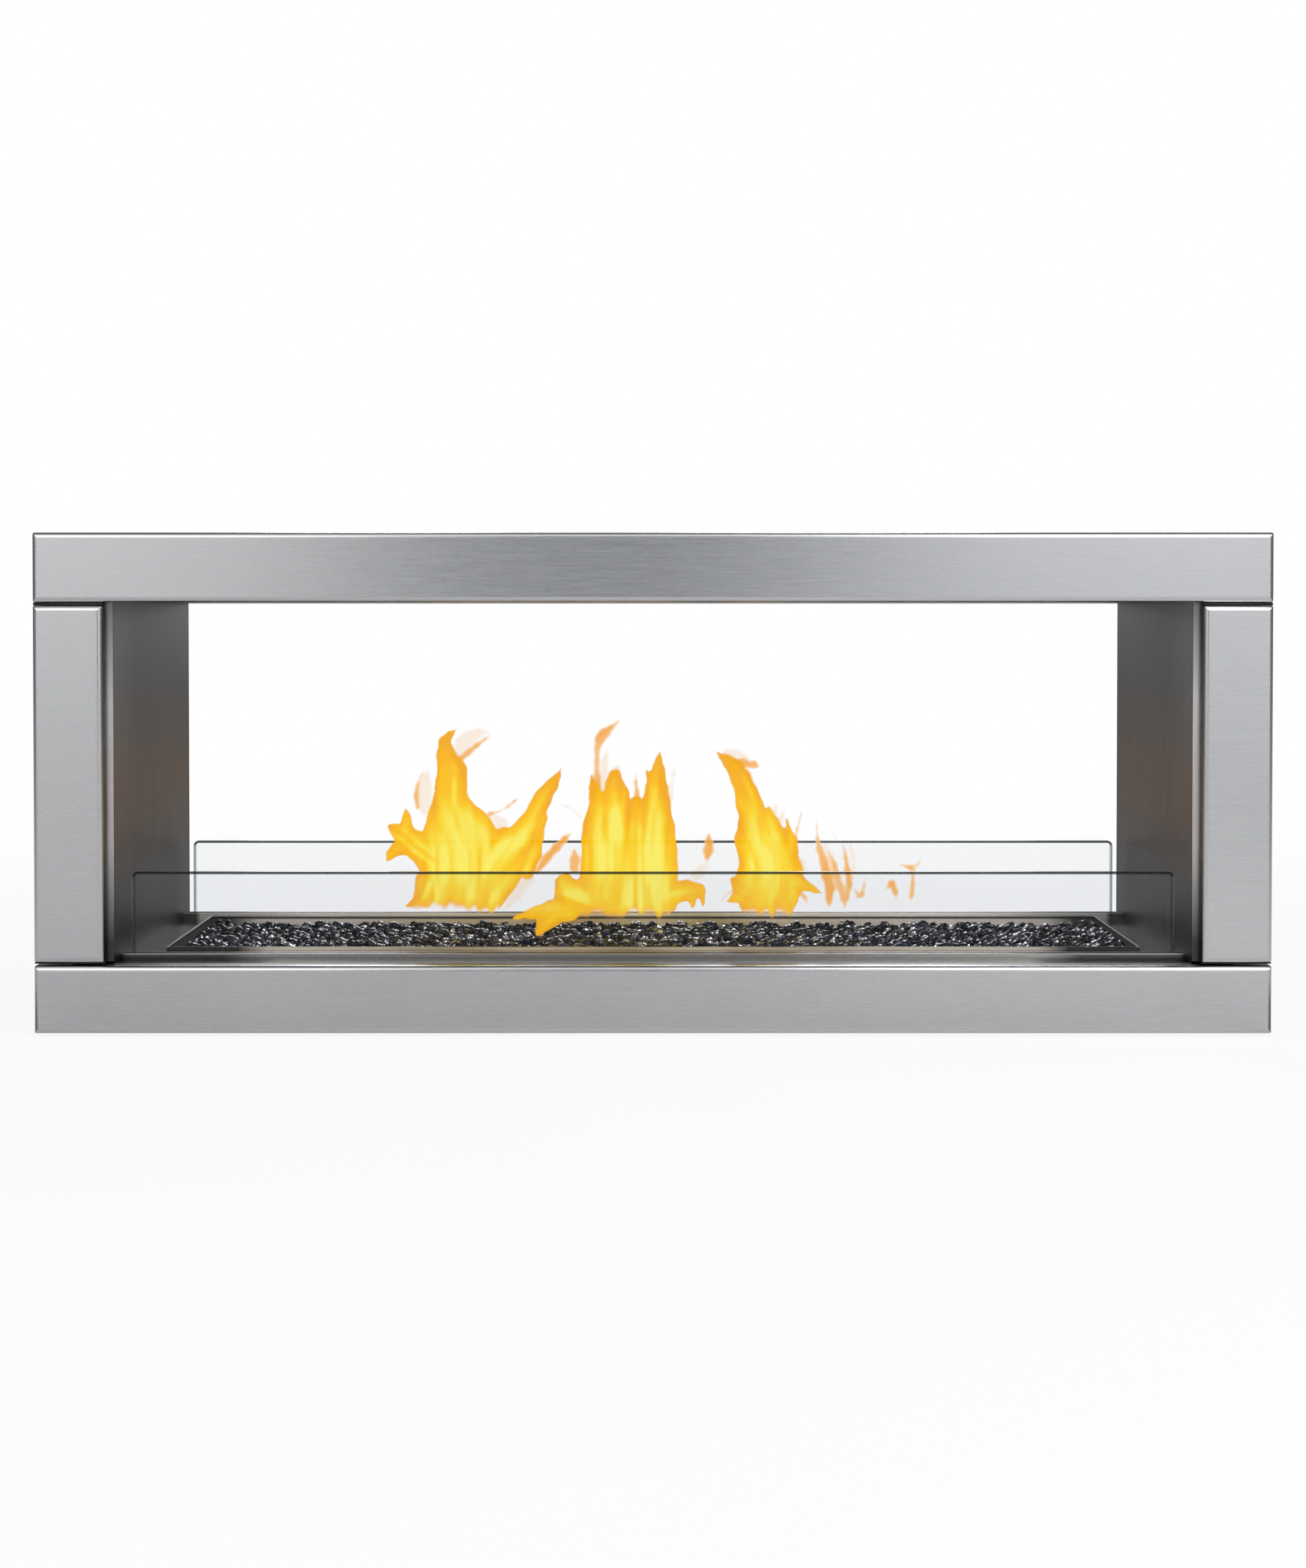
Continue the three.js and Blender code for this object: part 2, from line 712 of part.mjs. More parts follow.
function orifice() {
  const tip = holderLeft - orificeLength;
  const hexFrom = holderLeft - orificeHexLength;
  const nozzle = turned([
    [0, tip], [orificeRadius, tip], [orificeRadius, hexFrom], [orificeHexRadius, hexFrom],
    [orificeHexRadius, holderLeft], [0, holderLeft],
  ], 'x', pipeSides / 2);
  nozzle.translate(0, 0, burnerZ);
  piece('gas_orifice', nozzle, brass);
  const half = holderSize / 2;
  const holder = block(holderLeft, holderLeft + holderSize, -half, half, burnerZ - half, burnerZ + half);
  piece('orifice_holder', holder, brass);
  const run = outletEnd - valveRear;
  piece('manifold_tube', tubeAlong([
    [outletX, outletEnd + fitGap, controlHeight],
    [outletX, outletEnd + 2 * run, controlHeight],
    [holderLeft + half, -half - 2 * run, burnerZ],
    [holderLeft + half, -half - fitGap, burnerZ],
  ], manifoldRadius), aluminiumTube);
}

function supplyLine() {
  const outside = -(casingHalf + inletReach);
  const inside = -casingInner + inletInside;
  const hexEnd = -casingHalf - fitGap;
  const fitting = join(
    turned([
      [pipeBore, outside], [pipeRadius, outside], [pipeRadius, inside],
      [pipeBore, inside], [pipeBore, outside],
    ], 'x', pipeSides),
    turned([
      [pipeBore, hexEnd - inletHexLength], [inletHexRadius, hexEnd - inletHexLength],
      [inletHexRadius, hexEnd], [pipeBore, hexEnd], [pipeBore, hexEnd - inletHexLength],
    ], 'x', pipeSides),
  );
  piece('inlet_fitting', fitting, brass, [0, pipeY, pipeHeight]);
  const shutoffLeft = shutoffRight - shutoffLength;
  const tube = turned([
    [pipeBore, inside + fitGap], [pipeRadius, inside + fitGap], [pipeRadius, shutoffLeft - fitGap],
    [pipeBore, shutoffLeft - fitGap], [pipeBore, inside + fitGap],
  ], 'x', pipeSides);
  piece('supply_tube', tube, galvanised, [0, pipeY, pipeHeight]);
}

// A ball valve: a square body on the pipe, with its stem and lever towards the front.
function shutoff() {
  const half = shutoffSize / 2;
  const left = shutoffRight - shutoffLength;
  const stemEnd = -(faceY - leverSetback);
  const middle = left + shutoffLength / 2;
  const body = block(
    left, shutoffRight, pipeY - half, pipeY + half, pipeHeight - half, pipeHeight + half,
  );
  const stem = roundBarAt(shutoffStemRadius, stemEnd, pipeY, 'y', [middle, 0, pipeHeight], pipeSides);
  piece('shutoff_valve', join(body, stem), brass);
  const lever = join(
    roundBar(leverWidth, -leverThickness, 0, 'y'),
    block(-leverLength, 0, -leverThickness, 0, -leverWidth / 2, leverWidth / 2),
  );
  piece('shutoff_lever', lever, { color: 0xb3261e, roughness: 0.45, metalness: 0.1 },
    [middle, stemEnd - fitGap, pipeHeight]);
}

function gasValve() {
  const body = block(valveLeft, valveRight, valveFront, valveRear, valveBase, valveBase + valveHeight);
  const collar = roundBarAt(
    collarRadius, panelBack, valveFront + cutOverrun, 'y', [knobX, 0, controlHeight],
  );
  const boss = roundBarAt(
    valveBossRadius, shutoffRight + fitGap, valveLeft + cutOverrun, 'x', [0, pipeY, pipeHeight],
  );
  const outlet = roundBarAt(
    valveOutletRadius, valveRear - cutOverrun, outletEnd, 'y', [outletX, 0, controlHeight],
  );
  piece('gas_valve', join(body, collar, boss, outlet), castAluminium);
  const section = [
    [valveLeft, casingSheet], [valveLeft + bracketSheet, casingSheet],
    [valveLeft + bracketSheet, valveBase - bracketSheet],
    [valveRight - bracketSheet, valveBase - bracketSheet],
    [valveRight - bracketSheet, casingSheet], [valveRight, casingSheet],
    [valveRight, valveBase], [valveLeft, valveBase],
  ];
  piece('valve_bracket', barAlongY(section, valveFront, valveRear), galvanised);
}

function controlPanel() {
  const plate = block(panelLeft, casingInner, panelFront, panelBack, trimLift, floorUnder);
  const drill = (radius, x) => roundBarAt(
    radius + fitGap, panelFront - cutOverrun, panelBack + cutOverrun, 'y', [x, 0, controlHeight], pipeSides,
  );
  const panel = cut(plate, drill(shaftRadius, knobX), drill(buttonStemRadius, igniterX));
  piece('control_panel', panel, galvanised);
}

// The knob has a round skirt and a straight grip, and slides on its shaft against a spring.
function knob() {
  const shaftEnd = panelFront - shaftReach;
  const shaft = roundBar(shaftRadius, shaftEnd - panelBack, -fitGap, 'y', pipeSides);
  piece('valve_shaft', shaft, brushedSteel, [knobX, panelBack, controlHeight]);
  const back = panelFront - knobTravel - knobClear;
  const skirt = roundBar(knobSkirtRadius, -knobSkirt, 0, 'y');
  const gripReach = knobSkirtRadius - knobClear;
  const grip = block(
    -knobGripWidth / 2, knobGripWidth / 2, -knobLength, 0, -gripReach, gripReach,
  );
  const bore = roundBar(shaftRadius + fitGap, -knobBore, cutOverrun, 'y', pipeSides);
  piece('control_knob', cut(join(skirt, grip), bore), blackPlastic, [knobX, back, controlHeight]);
}

function igniter() {
  const stemBore = buttonStemRadius + fitGap;
  const pit = buttonStemInside + buttonTravel + knobClear;
  const module = turned([
    [0, pit], [stemBore, pit], [stemBore, 0],
    [igniterRadius, 0], [igniterRadius, igniterLength], [0, igniterLength],
  ], 'y');
  piece('igniter_module', module, blackPlastic, [igniterX, panelBack, controlHeight]);
  const capBack = -(panelSheet + buttonTravel + knobClear);
  const capFront = capBack - buttonCap;
  const button = turned([
    [0, capFront], [buttonRadius, capFront], [buttonRadius, capBack], [buttonStemRadius, capBack],
    [buttonStemRadius, buttonStemInside], [0, buttonStemInside],
  ], 'y');
  piece('igniter_button', button, { color: 0x8c1a14, roughness: 0.35, metalness: 0 },
    [igniterX, panelBack, controlHeight]);
}

// The pilot stands on its bracket in the right end of the tray: hood, probe and electrode side by side.
function pilot() {
  const low = pilotX - pilotShelfLength / 2;
  const high = low + pilotShelfLength;
  const hoodX = pilotX;
  const probeX = pilotX + pilotSpacing;
  const rodX = pilotX - pilotSpacing;
  const drillFrom = shelfTop - pilotSheet - cutOverrun;
  const drill = (radius, x) => roundBarAt(
    radius + fitGap, drillFrom, shelfTop + cutOverrun, 'z', [x, pilotOffset, 0], pipeSides,
  );
  const shelf = block(low, high, pilotFrontY, pilotBackY, shelfTop - pilotSheet, shelfTop);
  const upright = block(low, high, pilotBackY - pilotSheet, pilotBackY, trayFloor, shelfTop);
  const bracket = cut(
    join(shelf, upright),
    drill(pilotTubeRadius, hoodX), drill(probeRadius, probeX), drill(ceramicRadius, rodX),
  );
  piece('pilot_bracket', bracket, brushedSteel);

  const hoodBore = hoodRadius - hoodWall;
  const cap = turned([
    [hoodBore, 0], [hoodRadius, 0], [hoodRadius, hoodHeight], [0, hoodHeight],
    [0, hoodHeight - hoodWall], [hoodBore, hoodHeight - hoodWall], [hoodBore, 0],
  ], 'z', pipeSides);
  const mouth = block(
    -hoodBore / 2, hoodBore / 2, -hoodRadius - cutOverrun, 0, hoodHeight / 2, hoodHeight - 2 * hoodWall,
  );
  piece('pilot_hood', cut(cap, mouth), brushedSteel, [hoodX, pilotOffset, shelfTop]);

  const ceramicFoot = shelfTop - ceramicLength / 2;
  const ceramicTop = shelfTop + ceramicLength / 2;
  const electrode = join(
    roundBar(ceramicRadius, ceramicFoot, ceramicTop, 'z', pipeSides),
    roundBar(rodRadius, ceramicTop - cutOverrun, shelfTop + rodRise, 'z', tubeSides),
  );
  piece('spark_electrode', electrode, ceramic, [rodX, pilotOffset, 0]);

  const runZ = trayFloor + pilotTubeRadius + leadRun / 2;
  const lowZ = casingSheet + leadRun;
  const outX = trayHalf + panelEndGap + manifoldRadius;
  const pilotStep = pilotTubeRadius * 4;
  piece('pilot_tube', tubeAlong([
    [valveLeft + pilotStep, valveRear + fitGap, valveBase + pilotTubeRadius * 2],
    [valveLeft + pilotStep, valveRear + pilotStep, valveBase + pilotTubeRadius * 2],
    [outX, -burnerRadius * 2, lowZ],
    [outX, burnerRadius * 2, lowZ],
    [outX, pilotOffset - pilotStep, lowZ + pilotTubeRadius],
    [trayHalf + pilotTubeRadius, pilotOffset, runZ],
    [hoodX + pilotStep, pilotOffset, runZ],
    [hoodX, pilotOffset, runZ + pilotStep],
    [hoodX, pilotOffset, shelfTop - pilotSheet],
    [hoodX, pilotOffset, shelfTop - fitGap],
  ], pilotTubeRadius), aluminiumTube);

  const probeRun = pilotOffset + pilotSpacing;
  const probeOut = outX + pilotSpacing;
  piece('thermocouple', tubeAlong([
    [knobX, valveRear + fitGap, valveBase + pilotTubeRadius * 2],
    [knobX, valveRear + pilotStep, valveBase + pilotTubeRadius * 2],
    [probeOut, -burnerRadius * 2, lowZ],
    [probeOut, burnerRadius * 2, lowZ],
    [outX, probeRun - pilotSpacing / 2, runZ - pilotTubeRadius],
    [trayHalf, probeRun, runZ - probeRadius],
    [probeX + pilotTubeRadius, probeRun - pilotTubeRadius, runZ],
    [probeX, pilotOffset, runZ + pilotStep * 2],
    [probeX, pilotOffset, shelfTop],
    [probeX, pilotOffset, shelfTop + rodRise],
  ], probeRadius), brass);

  const leadEnd = ceramicFoot - fitGap;
  const leadY = pilotOffset - pilotSpacing;
  piece('igniter_lead', tubeAlong([
    [igniterX, panelBack + igniterLength + fitGap, controlHeight],
    [igniterX, panelBack + igniterLength + leadDrop, controlHeight],
    [igniterX, 0, controlHeight],
    [igniterX - leadDrop, leadY, runZ + leadRadius],
    [trayHalf + leadRun, leadY, runZ],
    [trayHalf, leadY, runZ],
    [hoodX, leadY, runZ],
    [rodX, pilotOffset - leadRadius, runZ + leadRadius],
    [rodX, pilotOffset, leadEnd - leadRadius * 3],
    [rodX, pilotOffset, leadEnd],
  ], leadRadius), blackPlastic);
}

for (const [name, side] of [['front', -1], ['rear', 1]]) {
  topTrim(`${name}_top_trim`, side);
  stileTrim(`${name}_left_trim`, side, -1);
  stileTrim(`${name}_right_trim`, side, 1);
  glassChannel(`${name}_glass_channel`, side);
  glassGuard(`${name}_glass_guard`, side);
}
bottomTrim('rear_bottom_trim', 1);
accessDoor();
hinge();
doorCatches();
casing();
linerWall('left_liner_wall', -1);
linerWall('right_liner_wall', 1);
ceiling();
hearthFloor();
traySupports();
mediaTray();
mediaPlate();
mediaBed();
burner();
airShutter();
cradles();
orifice();
supplyLine();
shutoff();
gasValve();
controlPanel();
knob();
igniter();
pilot();

export default fireplace;
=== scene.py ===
# Double-sided linear gas fireplace, dressed round its fixed metal frame.
# Metres, +Z up, and the front face looks towards -Y.
import math
import bpy
import numpy as np
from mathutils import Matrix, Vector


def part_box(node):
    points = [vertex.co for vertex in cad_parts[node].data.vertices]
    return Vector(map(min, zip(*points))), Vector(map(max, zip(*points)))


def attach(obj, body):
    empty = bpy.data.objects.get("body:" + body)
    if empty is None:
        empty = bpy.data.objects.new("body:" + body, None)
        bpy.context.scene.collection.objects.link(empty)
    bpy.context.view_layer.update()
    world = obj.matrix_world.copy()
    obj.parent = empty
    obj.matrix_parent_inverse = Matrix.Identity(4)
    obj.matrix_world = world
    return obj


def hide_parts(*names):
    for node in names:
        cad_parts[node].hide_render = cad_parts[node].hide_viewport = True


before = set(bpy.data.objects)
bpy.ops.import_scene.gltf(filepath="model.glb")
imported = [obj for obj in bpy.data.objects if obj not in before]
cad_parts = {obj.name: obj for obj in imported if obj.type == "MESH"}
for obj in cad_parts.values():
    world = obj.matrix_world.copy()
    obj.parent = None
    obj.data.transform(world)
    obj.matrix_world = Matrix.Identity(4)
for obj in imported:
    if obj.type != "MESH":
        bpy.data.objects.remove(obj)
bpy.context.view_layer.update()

# Camera: 2.3 m in front of the trim and a little lower than its top rail, tilted down one degree, so
# that both low panes and the far edge of the hearth show through the opening.
camera_place = (0.0, -2.503, 0.462)
camera_tilt = 1.07
camera_data = bpy.data.cameras.new("front_camera")
camera_data.sensor_fit = "VERTICAL"
camera_data.sensor_height = 36.0
camera_data.lens = 48.99
camera_data.shift_y = -0.0855
camera = bpy.data.objects.new("front_camera", camera_data)
camera.location = camera_place
camera.rotation_euler = (math.radians(90.0 - camera_tilt), 0.0, 0.0)
bpy.context.scene.collection.objects.link(camera)
bpy.context.scene.camera = camera
bpy.context.scene.view_settings.view_transform = "Standard"

# Studio: one wide pale floor that turns into the plain white surround a few metres out, and a white
# surround that gives only a grey sheen to the metal.
floor_reach = 60.0
floor_paper = (0.86, 0.86, 0.86, 1.0)
surround_grey = (0.18, 0.19, 0.205, 1.0)
plain_white = (1.0, 1.0, 1.0, 1.0)


def link_nodes(finish, wanted):
    """Adds nodes to a finish and joins them. Each entry is a node's own name, its kind, or None for a
    node that is there already, and its settings. A key in small letters is one of the node's own
    settings. Any other key is an input, and takes a value, or the output of a node as node.output."""
    nodes = finish.node_tree.nodes
    for name, (kind, settings) in wanted.items():
        node = nodes.new(kind) if kind else nodes[name]
        node.name = name
        for key, value in settings.items():
            if str(key).islower():
                setattr(node, key, value)
    for name, (kind, settings) in wanted.items():
        for key, value in settings.items():
            if str(key).islower():
                continue
            entry = nodes[name].inputs[key]
            if isinstance(value, str):
                source, output = value.split(".")
                output = int(output) if output.isdigit() else output
                finish.node_tree.links.new(nodes[source].outputs[output], entry)
            else:
                entry.default_value = value


def maths(operation, *values):
    """A node that works out one number from its values, taken in order."""
    return "ShaderNodeMath", {"operation": operation, **dict(enumerate(values))}


def graded(source, start, end, low=0.0, high=1.0, **settings):
    """A node that gives low where its source is at start, high where it is at end, and an even change
    between them."""
    return "ShaderNodeMapRange", {
        "Value": source, "From Min": start, "From Max": end, "To Min": low, "To Max": high, **settings}


def bare_finish(made):
    """Empties the nodes of a new material or surround, and hands it back."""
    made.use_nodes = True
    made.node_tree.nodes.clear()
    return made


floor_mesh = bpy.data.meshes.new("studio_floor")
floor_mesh.from_pydata(
    [(-floor_reach, -floor_reach, 0.0), (floor_reach, -floor_reach, 0.0),
     (floor_reach, floor_reach, 0.0), (-floor_reach, floor_reach, 0.0)], [], [(0, 1, 2, 3)])
floor = bpy.data.objects.new("studio_floor", floor_mesh)
bpy.context.scene.collection.objects.link(floor)
floor_finish = bare_finish(bpy.data.materials.new("pale_paper"))
link_nodes(floor_finish, {
    "place": ("ShaderNodeTexCoord", {}),
    "reach": ("ShaderNodeVectorMath", {"operation": "LENGTH", 0: "place.Object"}),
    "fade": graded("reach.Value", 0.6, 3.0, 0.90, 1.0, interpolation_type="SMOOTHSTEP"),
    "path": ("ShaderNodeLightPath", {}),
    "seen": maths("MULTIPLY", "fade.Result", "path.Is Camera Ray"),
    "lit": ("ShaderNodeBsdfDiffuse", {"Color": floor_paper}),
    "white": ("ShaderNodeEmission", {"Color": plain_white, "Strength": 1.0}),
    "blend": ("ShaderNodeMixShader", {"Fac": "seen.Value", 1: "lit.BSDF", 2: "white.Emission"}),
    "out": ("ShaderNodeOutputMaterial", {"Surface": "blend.Shader"}),
})
floor_mesh.materials.append(floor_finish)

surround = bare_finish(bpy.data.worlds.new("white_surround"))
link_nodes(surround, {
    "path": ("ShaderNodeLightPath", {}),
    "shine": ("ShaderNodeBackground", {"Color": surround_grey, "Strength": 1.0}),
    "seen": ("ShaderNodeBackground", {"Color": plain_white, "Strength": 1.0}),
    "blend": ("ShaderNodeMixShader", {
        "Fac": "path.Is Camera Ray", 1: "shine.Background", 2: "seen.Background"}),
    "out": ("ShaderNodeOutputWorld", {"Surface": "blend.Shader"}),
})
bpy.context.scene.world = surround

# Lights: two tall soft panels behind the camera with a gap between them, which brighten the ends of the
# rails and leave their middle grey, a narrow one out on each side for the rounded edges, one high up in
# front and three over the floor there, and on the far side two low and two high panels with a fill behind
# them, which the hearth and the fire glass mirror.
light_panels = {
    "left_panel": ((-2.05, -5.2, 1.3), (2.1, 4.2), 22.0),
    "right_panel": ((1.925, -5.2, 1.3), (2.75, 4.2), 27.5),
    "overhead_panel": ((0.0, -1.9, 3.1), (4.4, 1.6), 20.0),
    "front_floor_panel": ((0.80, -1.1, 1.45), (0.7, 0.7), 7.0),
    "left_edge_panel": ((-4.1, -5.2, 1.3), (0.5, 4.2), 14.0),
    "right_edge_panel": ((4.1, -5.2, 1.3), (0.5, 4.2), 14.0),
    "left_floor_panel": ((-1.4, -2.6, 2.0), (1.3, 1.3), 13.0),
    "right_floor_panel": ((1.3, -2.4, 1.9), (1.1, 1.2), 13.5),
    "far_left_panel": ((-1.05, 5.0, 0.8), (0.75, 0.8), 3.6),
    "far_right_panel": ((0.86, 5.0, 0.8), (0.95, 0.8), 4.6),
    "far_left_high_panel": ((-0.963, 4.2, 2.75), (0.52, 2.9), 32.0),
    "far_right_high_panel": ((0.666, 4.2, 2.75), (0.82, 2.9), 50.0),
    "far_fill": ((-0.085, 5.4, 2.2), (2.7, 2.2), 15.3),
}
cool_white = (0.98, 0.985, 1.0)
aim_point = np.array([0.0, 0.0, 0.3])
for name, (place, size, watts) in light_panels.items():
    panel = bpy.data.lights.new(name, "AREA")
    panel.shape = "RECTANGLE"
    panel.size, panel.size_y = size
    panel.energy = watts
    if name == "right_panel":
        panel.color = cool_white
    holder = bpy.data.objects.new(name, panel)
    holder.location = place
    aim = aim_point - np.array(place)
    across = math.hypot(aim[0], aim[1])
    holder.rotation_euler = (math.pi / 2.0 + math.atan2(aim[2], across), 0.0,
                             math.atan2(-aim[0], aim[1]))
    holder.visible_camera = False
    bpy.context.scene.collection.objects.link(holder)

# Outer casing: base pan, two sides with nailing flanges and a lid, folded from galvanised sheet, with a
# heat shield over the ceiling. The zinc has a faint crystal pattern and small scuffs from handling.
galvanised_nodes = ["base_pan", "left_casing_side", "right_casing_side", "casing_top",
                    "ceiling_heat_shield", "left_tray_support", "right_tray_support",
                    "left_burner_cradle", "right_burner_cradle", "valve_bracket", "control_panel",
                    "left_hinge_bracket", "right_hinge_bracket"]


def metal_finish(name, colour, gloss, metallic=1.0):
    """A new finish with a Principled shader: its colour, roughness and how metallic it is."""
    finish = bpy.data.materials.new(name)
    finish.use_nodes = True
    link_nodes(finish, {"Principled BSDF": (None, {
        "Base Color": (*colour, 1.0), "Roughness": gloss, "Metallic": metallic})})
    return finish


def noise(source, scale, detail=2.0, roughness=0.5):
    """A node with cloudy noise of so many blots a metre."""
    return "ShaderNodeTexNoise", {
        "Vector": source, "Scale": scale, "Detail": detail, "Roughness": roughness}


galvanised = metal_finish("galvanised_sheet", (0.60, 0.61, 0.62), 0.42)
link_nodes(galvanised, {
    "place": ("ShaderNodeTexCoord", {}),
    "warp": noise("place.Object", 45.0, 3.0),
    "shift": ("ShaderNodeVectorMath", {
        "operation": "MULTIPLY_ADD", 0: "warp.Color", 1: (0.02, 0.02, 0.02), 2: "place.Object"}),
    "crystals": ("ShaderNodeTexVoronoi", {"Vector": "shift.Vector", "Scale": 70.0, "Randomness": 1.0}),
    "grey": ("ShaderNodeSeparateColor", {"Color": "crystals.Color"}),
    "tone": graded("grey.Red", 0.0, 1.0, 0.46, 0.66),
    "mixed": ("ShaderNodeCombineColor", {
        "Red": "tone.Result", "Green": "tone.Result", "Blue": "tone.Result"}),
    "scuffs": noise("place.Object", 9.0, 5.0, 0.62),
    "rub": graded("scuffs.Fac", 0.35, 0.7, 0.32, 0.56),
    "relief": ("ShaderNodeBump", {"Strength": 0.12, "Distance": 0.0004, "Height": "scuffs.Fac"}),
    "Principled BSDF": (None, {
        "Base Color": "mixed.Color", "Roughness": "rub.Result", "Normal": "relief.Normal"}),
})


def dress(node_names, finish):
    """Puts one finish on CAD pieces that keep their own shape."""
    for node_name in node_names:
        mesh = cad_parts[node_name].data
        mesh.materials.clear()
        mesh.materials.append(finish)


dress(galvanised_nodes, galvanised)

# Firebox liner: two side walls and a ceiling of satin stainless sheet with a fine upright grain. It is dark,
# and from the middle down darker, with a brown belt over a greyer foot. Painted shade darkens it behind a
# strip at the front. The narrow flange along each face is lighter, with painted shade at its foot and head.
liner_nodes = ["left_liner_wall", "right_liner_wall", "ceiling_liner"]


def scaled(colour, share):
    """A node that multiplies a colour by a share."""
    return "ShaderNodeVectorMath", {"operation": "SCALE", 0: colour, "Scale": share}


def mixed(share, first, second, **settings):
    """A node that goes from its first colour to its second as the share goes from 0 to 1."""
    return "ShaderNodeMix", {"data_type": "RGBA", 0: share, 6: first, 7: second, **settings}


def brushed_finish(name, colour, gloss, grain, grain_depth, tone_spread, gloss_spread):
    """Brushed sheet: noise stretched along the brushing gives thin streaks, which shift the colour by
    tone_spread, the roughness by gloss_spread, and the surface by grain_depth metres. grain holds the
    number of streaks per metre along X, Y and Z."""
    finish = metal_finish(name, colour, gloss)
    link_nodes(finish, {
        "place": ("ShaderNodeTexCoord", {}),
        "stretch": ("ShaderNodeMapping", {"Vector": "place.Object", "Scale": grain}),
        "streaks": noise("stretch.Vector", 1.0, 4.0, 0.7),
        "clouds": noise("place.Object", 5.0, 3.0),
        "sum": maths("MULTIPLY_ADD", "clouds.Fac", 0.5, "streaks.Fac"),
        "tone": graded("sum.Value", 0.45, 1.05, 1.0 - tone_spread, 1.0 + tone_spread),
        "tint": scaled(colour, "tone.Result"),
        "rub": graded("streaks.Fac", 0.3, 0.7, gloss - gloss_spread, gloss + gloss_spread),
        "relief": ("ShaderNodeBump", {
            "Strength": 0.35, "Distance": grain_depth, "Height": "streaks.Fac"}),
        "Principled BSDF": (None, {
            "Base Color": "tint.Vector", "Roughness": "rub.Result", "Normal": "relief.Normal"}),
    })
    return finish


liner_steel = brushed_finish(
    "darkened_liner_painted_shade", (0.125, 0.123, 0.121), 0.40, (900.0, 900.0, 14.0), 0.0002, 0.12, 0.05)
foot_grey = (0.44, 0.36, 0.30, 1.0)
belt_brown = (0.62, 0.34, 0.16, 1.0)
grazing_brown = (1.0, 0.86, 0.75, 1.0)
link_nodes(liner_steel, {
    "parts": ("ShaderNodeSeparateXYZ", {"Vector": "place.Object"}),
    "depth": maths("ABSOLUTE", "parts.Y"),
    # Darker from the middle down, browner in a belt and greyer at the foot; the flange takes less of it.
    "low": graded("parts.Z", 0.45, 0.19, interpolation_type="SMOOTHSTEP"),
    "bare": graded("depth.Value", 0.1878, 0.1886, 1.0, 0.25),
    "warmth": maths("MULTIPLY", "low.Result", "bare.Result"),
    "above_soot": graded("parts.Z", 0.15, 0.27),
    "stain": mixed("above_soot.Result", foot_grey, belt_brown),
    "brown": mixed("warmth.Value", "tint.Vector", "stain.2", blend_type="MULTIPLY"),
    "belt": maths("MULTIPLY", "above_soot.Result", "warmth.Value"),
    "grazing": mixed("belt.Value", plain_white, grazing_brown),
    # The flange is lighter than the wall, with painted shade at its head and more at its foot.
    "rim_head": graded("parts.Z", 0.36, 0.46, 4.7, 1.5),
    "rim_foot": graded("parts.Z", 0.100, 0.205, 0.3, "rim_head.Result"),
    "rim": graded("depth.Value", 0.1878, 0.1886, 0.0, "rim_foot.Result"),
    # Painted shade: a darker band in the groove just inside each flange.
    "groove": graded("depth.Value", 0.1840, 0.1865, 1.0, 0.35),
    "edge": maths("ADD", "rim.Result", "groove.Result"),
    # Painted shade: darker deeper in, behind a lighter strip at the front.
    "sooted": graded("parts.Y", -0.17, -0.075, 1.0, 0.50),
    "both": maths("MULTIPLY", "edge.Value", "sooted.Result"),
    "clean": scaled("brown.2", "both.Value"),
    "Principled BSDF": (None, {"Base Color": "clean.Vector", "Specular Tint": "grazing.2"}),
})
dress(liner_nodes, liner_steel)

# Hearth floor: strips of stainless sheet polished nearly to a mirror, with a fine lengthwise grain and a
# few smears, two darker plates beside the tray, and two pale satin ledges along the faces, whose ends are
# darkened, most of all at the corners, by a painted reflection of the dark liner walls.
floor_grain = (10.0, 700.0, 700.0)
polished_floor = brushed_finish(
    "polished_hearth", (0.52, 0.51, 0.49), 0.09, floor_grain, 0.00006, 0.08, 0.035)
dress(["front_floor_strip", "rear_floor_strip"], polished_floor)
darker_end_plate = brushed_finish(
    "darker_end_plate", (0.140, 0.131, 0.134), 0.13, floor_grain, 0.00006, 0.10, 0.05)
dress(["left_floor_plate", "right_floor_plate"], darker_end_plate)
satin_ledge = brushed_finish(
    "satin_ledge", (0.82, 0.815, 0.80), 0.34, floor_grain, 0.00006, 0.05, 0.03)
link_nodes(satin_ledge, {
    "parts": ("ShaderNodeSeparateXYZ", {"Vector": "place.Object"}),
    "along": maths("ABSOLUTE", "parts.X"),
    # Painted reflection of the dark liner walls: the ends darker, and the corners darker still.
    "ends": graded("along.Value", 0.412, 0.434, 1.0, 0.32),
    "corner": graded("along.Value", 0.500, 0.560, 1.0, 0.5),
    "share": maths("MULTIPLY", "ends.Result", "corner.Result"),
    "clean": scaled("tint.Vector", "share.Value"),
    "Principled BSDF": (None, {"Base Color": "clean.Vector", "Metallic": 0.8}),
})
dress(["front_hearth_ledge", "rear_hearth_ledge"], satin_ledge)
